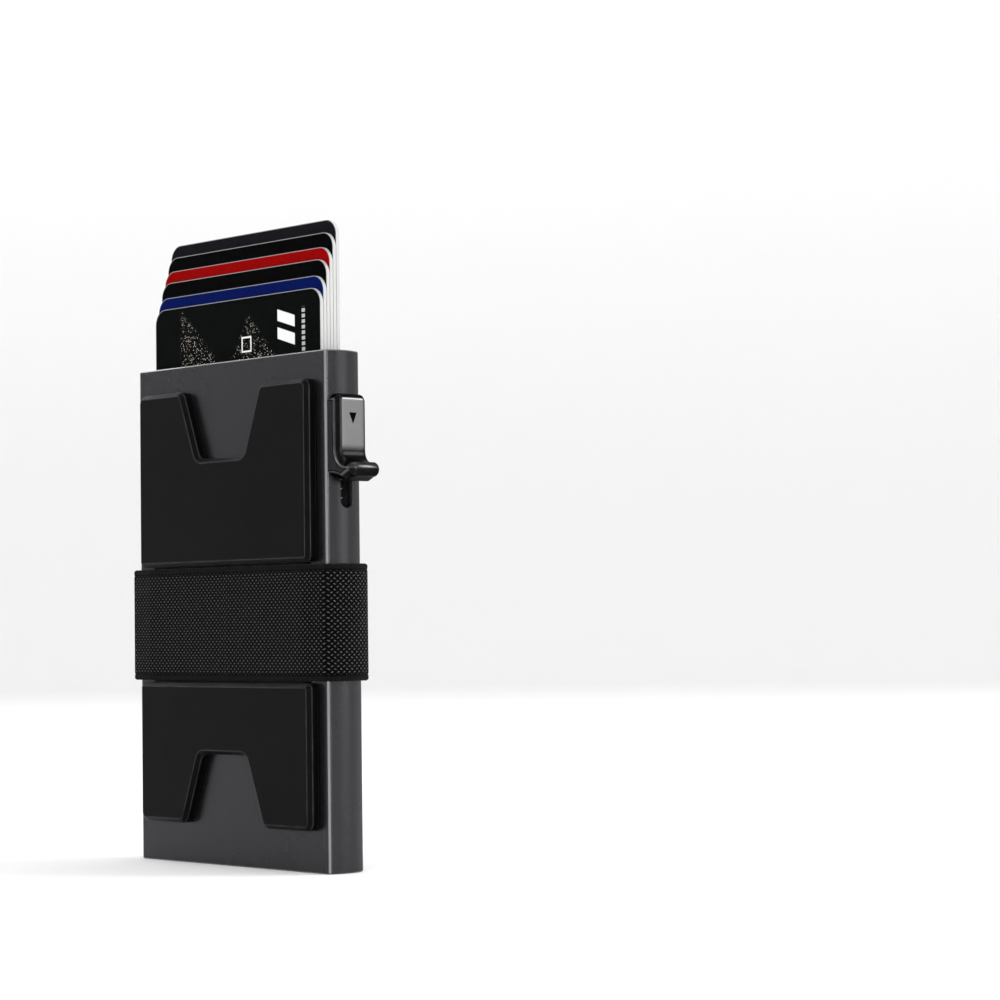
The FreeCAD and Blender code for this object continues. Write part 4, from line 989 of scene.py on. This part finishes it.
band = skin("elastic_band_webbing", band_grid, webbing, wrap_rows=True, wrap_columns=True,
            flat_map=(travelled, section_far), smooth_angle=60)
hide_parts("elastic_band")
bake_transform(band)
print("band", len(band.data.polygons), "faces")

# %% [markdown]
# The lap at the back is sewn with two rows of short stitches.  Each stitch is a tiny spindle: a
# ring that swells and shrinks along its length, repeated down both rows.

# %% Stitches in the lap
thread = finish("polyester thread", (0.018, 0.018, 0.019), 0.7, specular=0.3, grain=9000.0, grain_depth=0.02,
                extra={"Sheen Weight": 0.1})
STITCH_LONG, STITCH_ROUND, STITCH_PITCH, STITCH_SUNK, ROW_INSET = 1.9, 0.22, 2.5, 0.28, 1.4
run_along = np.linspace(-1, 1, 7)
thick = STITCH_ROUND * np.sqrt(np.clip(1 - run_along ** 2, 0.02, 1))
ring = np.linspace(0, 2 * np.pi, 9)[:-1]
one = np.stack([
    np.outer(thick, np.cos(ring)), np.outer(thick, np.sin(ring)),
    np.outer(run_along, np.ones_like(ring)) * STITCH_LONG / 2,
], -1)
levels = middle_z + np.arange(-3.5, 4) * STITCH_PITCH
lap_y = turn_y + BAND_THICK + LAP_THICK - STITCH_SUNK
row_x = LAP_HALF - ROW_INSET
places = np.array([[x, lap_y, z] for x in (-row_x, row_x) for z in levels])
one_faces, _, _ = grid_faces(len(run_along), len(ring), False, True)
all_points = (places[:, None] + one.reshape(1, -1, 3)).reshape(-1, 3)
count = len(one.reshape(-1, 3))
all_faces = (one_faces[None] + count * np.arange(len(places))[:, None, None]).reshape(-1, 4).tolist()
tips = np.stack([np.arange(len(ring)), np.arange(count - len(ring), count)])
all_faces += (tips[None] + count * np.arange(len(places))[:, None, None]).reshape(-1, len(ring)).tolist()
stitches = finish_mesh(plain_mesh("band_stitches", all_points, all_faces), "band_stitches", thread, 60)
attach(stitches, "case")
print("stitches", len(places))

# %% [markdown]
# ## Return spring
#
# Spring wire wound round the push rod, with closed end coils; in use it shortens as the trigger
# slides down.  It is laid out again as a wire carried along a helix, at the engineering spring's length.

# %% The spring as a wire along a helix
spring_low, spring_high = box_mm("return_spring")
WIRE_ROUND, SPRING_TURNS, CLOSED_TURNS = 0.14, 15.0, 1.0
coil_round = (spring_high[0] - spring_low[0]) / 2 - WIRE_ROUND
spring_x = (spring_high[0] + spring_low[0]) / 2
along_wire = np.linspace(0, SPRING_TURNS, 361)
open_turns = np.clip((along_wire - CLOSED_TURNS) / (SPRING_TURNS - 2 * CLOSED_TURNS), 0, 1)
closed_rise = 2.2 * WIRE_ROUND * (np.clip(along_wire / CLOSED_TURNS, 0, 1)
                                  + np.clip((along_wire - SPRING_TURNS + CLOSED_TURNS) / CLOSED_TURNS, 0, 1))
free_rise = spring_high[2] - spring_low[2] - 2 * WIRE_ROUND - 4.4 * WIRE_ROUND
wire_z = spring_low[2] + WIRE_ROUND + closed_rise + free_rise * open_turns
wire_turn = 2 * np.pi * along_wire
wire_ring = np.linspace(0, 2 * np.pi, 9)[:-1]
wire_out = coil_round + WIRE_ROUND * np.cos(wire_ring)[None]
spring_grid = np.stack([
    spring_x + wire_out * np.cos(wire_turn)[:, None], wire_out * np.sin(wire_turn)[:, None],
    wire_z[:, None] + WIRE_ROUND * np.sin(wire_ring)[None],
], -1)
spring = skin("return_spring_wire", spring_grid, steel, wrap_columns=True, caps=True, smooth_angle=60)
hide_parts("return_spring")
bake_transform(spring)
print("spring", len(spring.data.polygons), "faces")

# %% [markdown]
# ## Studio
#
# The wallet stands in a pale bowl: a flat floor that curves up into a wall all round, so that
# every view has the same plain backdrop with no horizon.  The bowl is one profile, a flat
# run, a quarter turn and a wall, carried round the middle.

# %% The pale bowl
pale, pale_tree, pale_shader = new_material("pale floor")
pale_shader.inputs["Base Color"].default_value = (0.82, 0.82, 0.82, 1.0)
pale_shader.inputs["Roughness"].default_value = 0.9
pale_shader.inputs["Specular IOR Level"].default_value = 0.0
pale_height = split(pale_tree, object_place(pale_tree))[2]
pale_shader.inputs["Emission Color"].default_value = (1.0, 1.0, 1.0, 1.0)
feed(pale_tree, spread(pale_tree, pale_height, 0.0, 1.2, 0.01, 0.34), pale_shader.inputs["Emission Strength"])

FLOOR_REACH, WALL_TURN, WALL_TOP = 1600.0, 700.0, 2600.0
quarter = np.linspace(0, np.pi / 2, 24)
turn_r = FLOOR_REACH + WALL_TURN * np.sin(quarter)
profile_r = np.concatenate([[1.0, 300.0, 900.0], turn_r, turn_r[-1:]])
profile_z = np.concatenate([[0.0, 0.0, 0.0], WALL_TURN * (1 - np.cos(quarter)), [WALL_TOP]])
round_angle = np.linspace(0, 2 * np.pi, 97)[:-1]
bowl_grid = np.stack([
    np.outer(profile_r, np.cos(round_angle)), np.outer(profile_r, np.sin(round_angle)),
    np.outer(profile_z, np.ones_like(round_angle)),
], -1)
bowl_faces, _, _ = grid_faces(len(profile_r), len(round_angle), False, True)
middle_face = [list(range(len(round_angle)))]
bowl_mesh = plain_mesh("studio_bowl", bowl_grid, bowl_faces.tolist() + middle_face)
bowl_mesh.shade_smooth()
bowl_mesh.materials.append(pale)
bowl = bpy.data.objects.new("studio_bowl", bowl_mesh)
bpy.context.scene.collection.objects.link(bowl)

# %% Soft lights


def soft_light(name, place, aim, size, power):
    """An oblong soft light that looks at a point; places in metres, power in watts."""
    data = bpy.data.lights.new(name, "AREA")
    data.shape = "RECTANGLE"
    data.size, data.size_y = size
    data.energy = power
    lamp = bpy.data.objects.new(name, data)
    bpy.context.scene.collection.objects.link(lamp)
    lamp.location = place
    lamp.rotation_mode = "QUATERNION"
    lamp.rotation_quaternion = (Vector(aim) - Vector(place)).to_track_quat("-Z", "Y")
    return lamp


soft_light("overhead", (0.0, 0.1, 1.5), (0.0, 0.0, 0.05), (1.4, 1.4), 7.5)
soft_light("edge_strip", (1.22, -0.50, 0.25), (0.03, -0.004, 0.06), (0.08, 0.9), 6.5)
soft_light("right_low", (1.20, 0.62, 0.16), (0.035, 0.0, 0.085), (0.60, 0.36), 1.2)
soft_light("back_high", (0.85, 0.87, 0.80), (0.037, 0.0, 0.078), (0.5, 0.5), 10.0)
soft_light("left_high", (-1.0, 0.05, 1.0), (0.0, 0.0, 0.1), (0.6, 0.4), 2.5)
soft_light("front_fill", (-0.45, -1.30, 0.75), (0.0, 0.0, 0.06), (0.5, 0.5), 3.0)
world = bpy.data.worlds.new("studio air")
world.use_nodes = True
world.node_tree.nodes["Background"].inputs["Color"].default_value = (1.0, 1.0, 1.0, 1.0)
world.node_tree.nodes["Background"].inputs["Strength"].default_value = 0.58
bpy.context.scene.world = world
bpy.context.scene.view_settings.view_transform = "Standard"
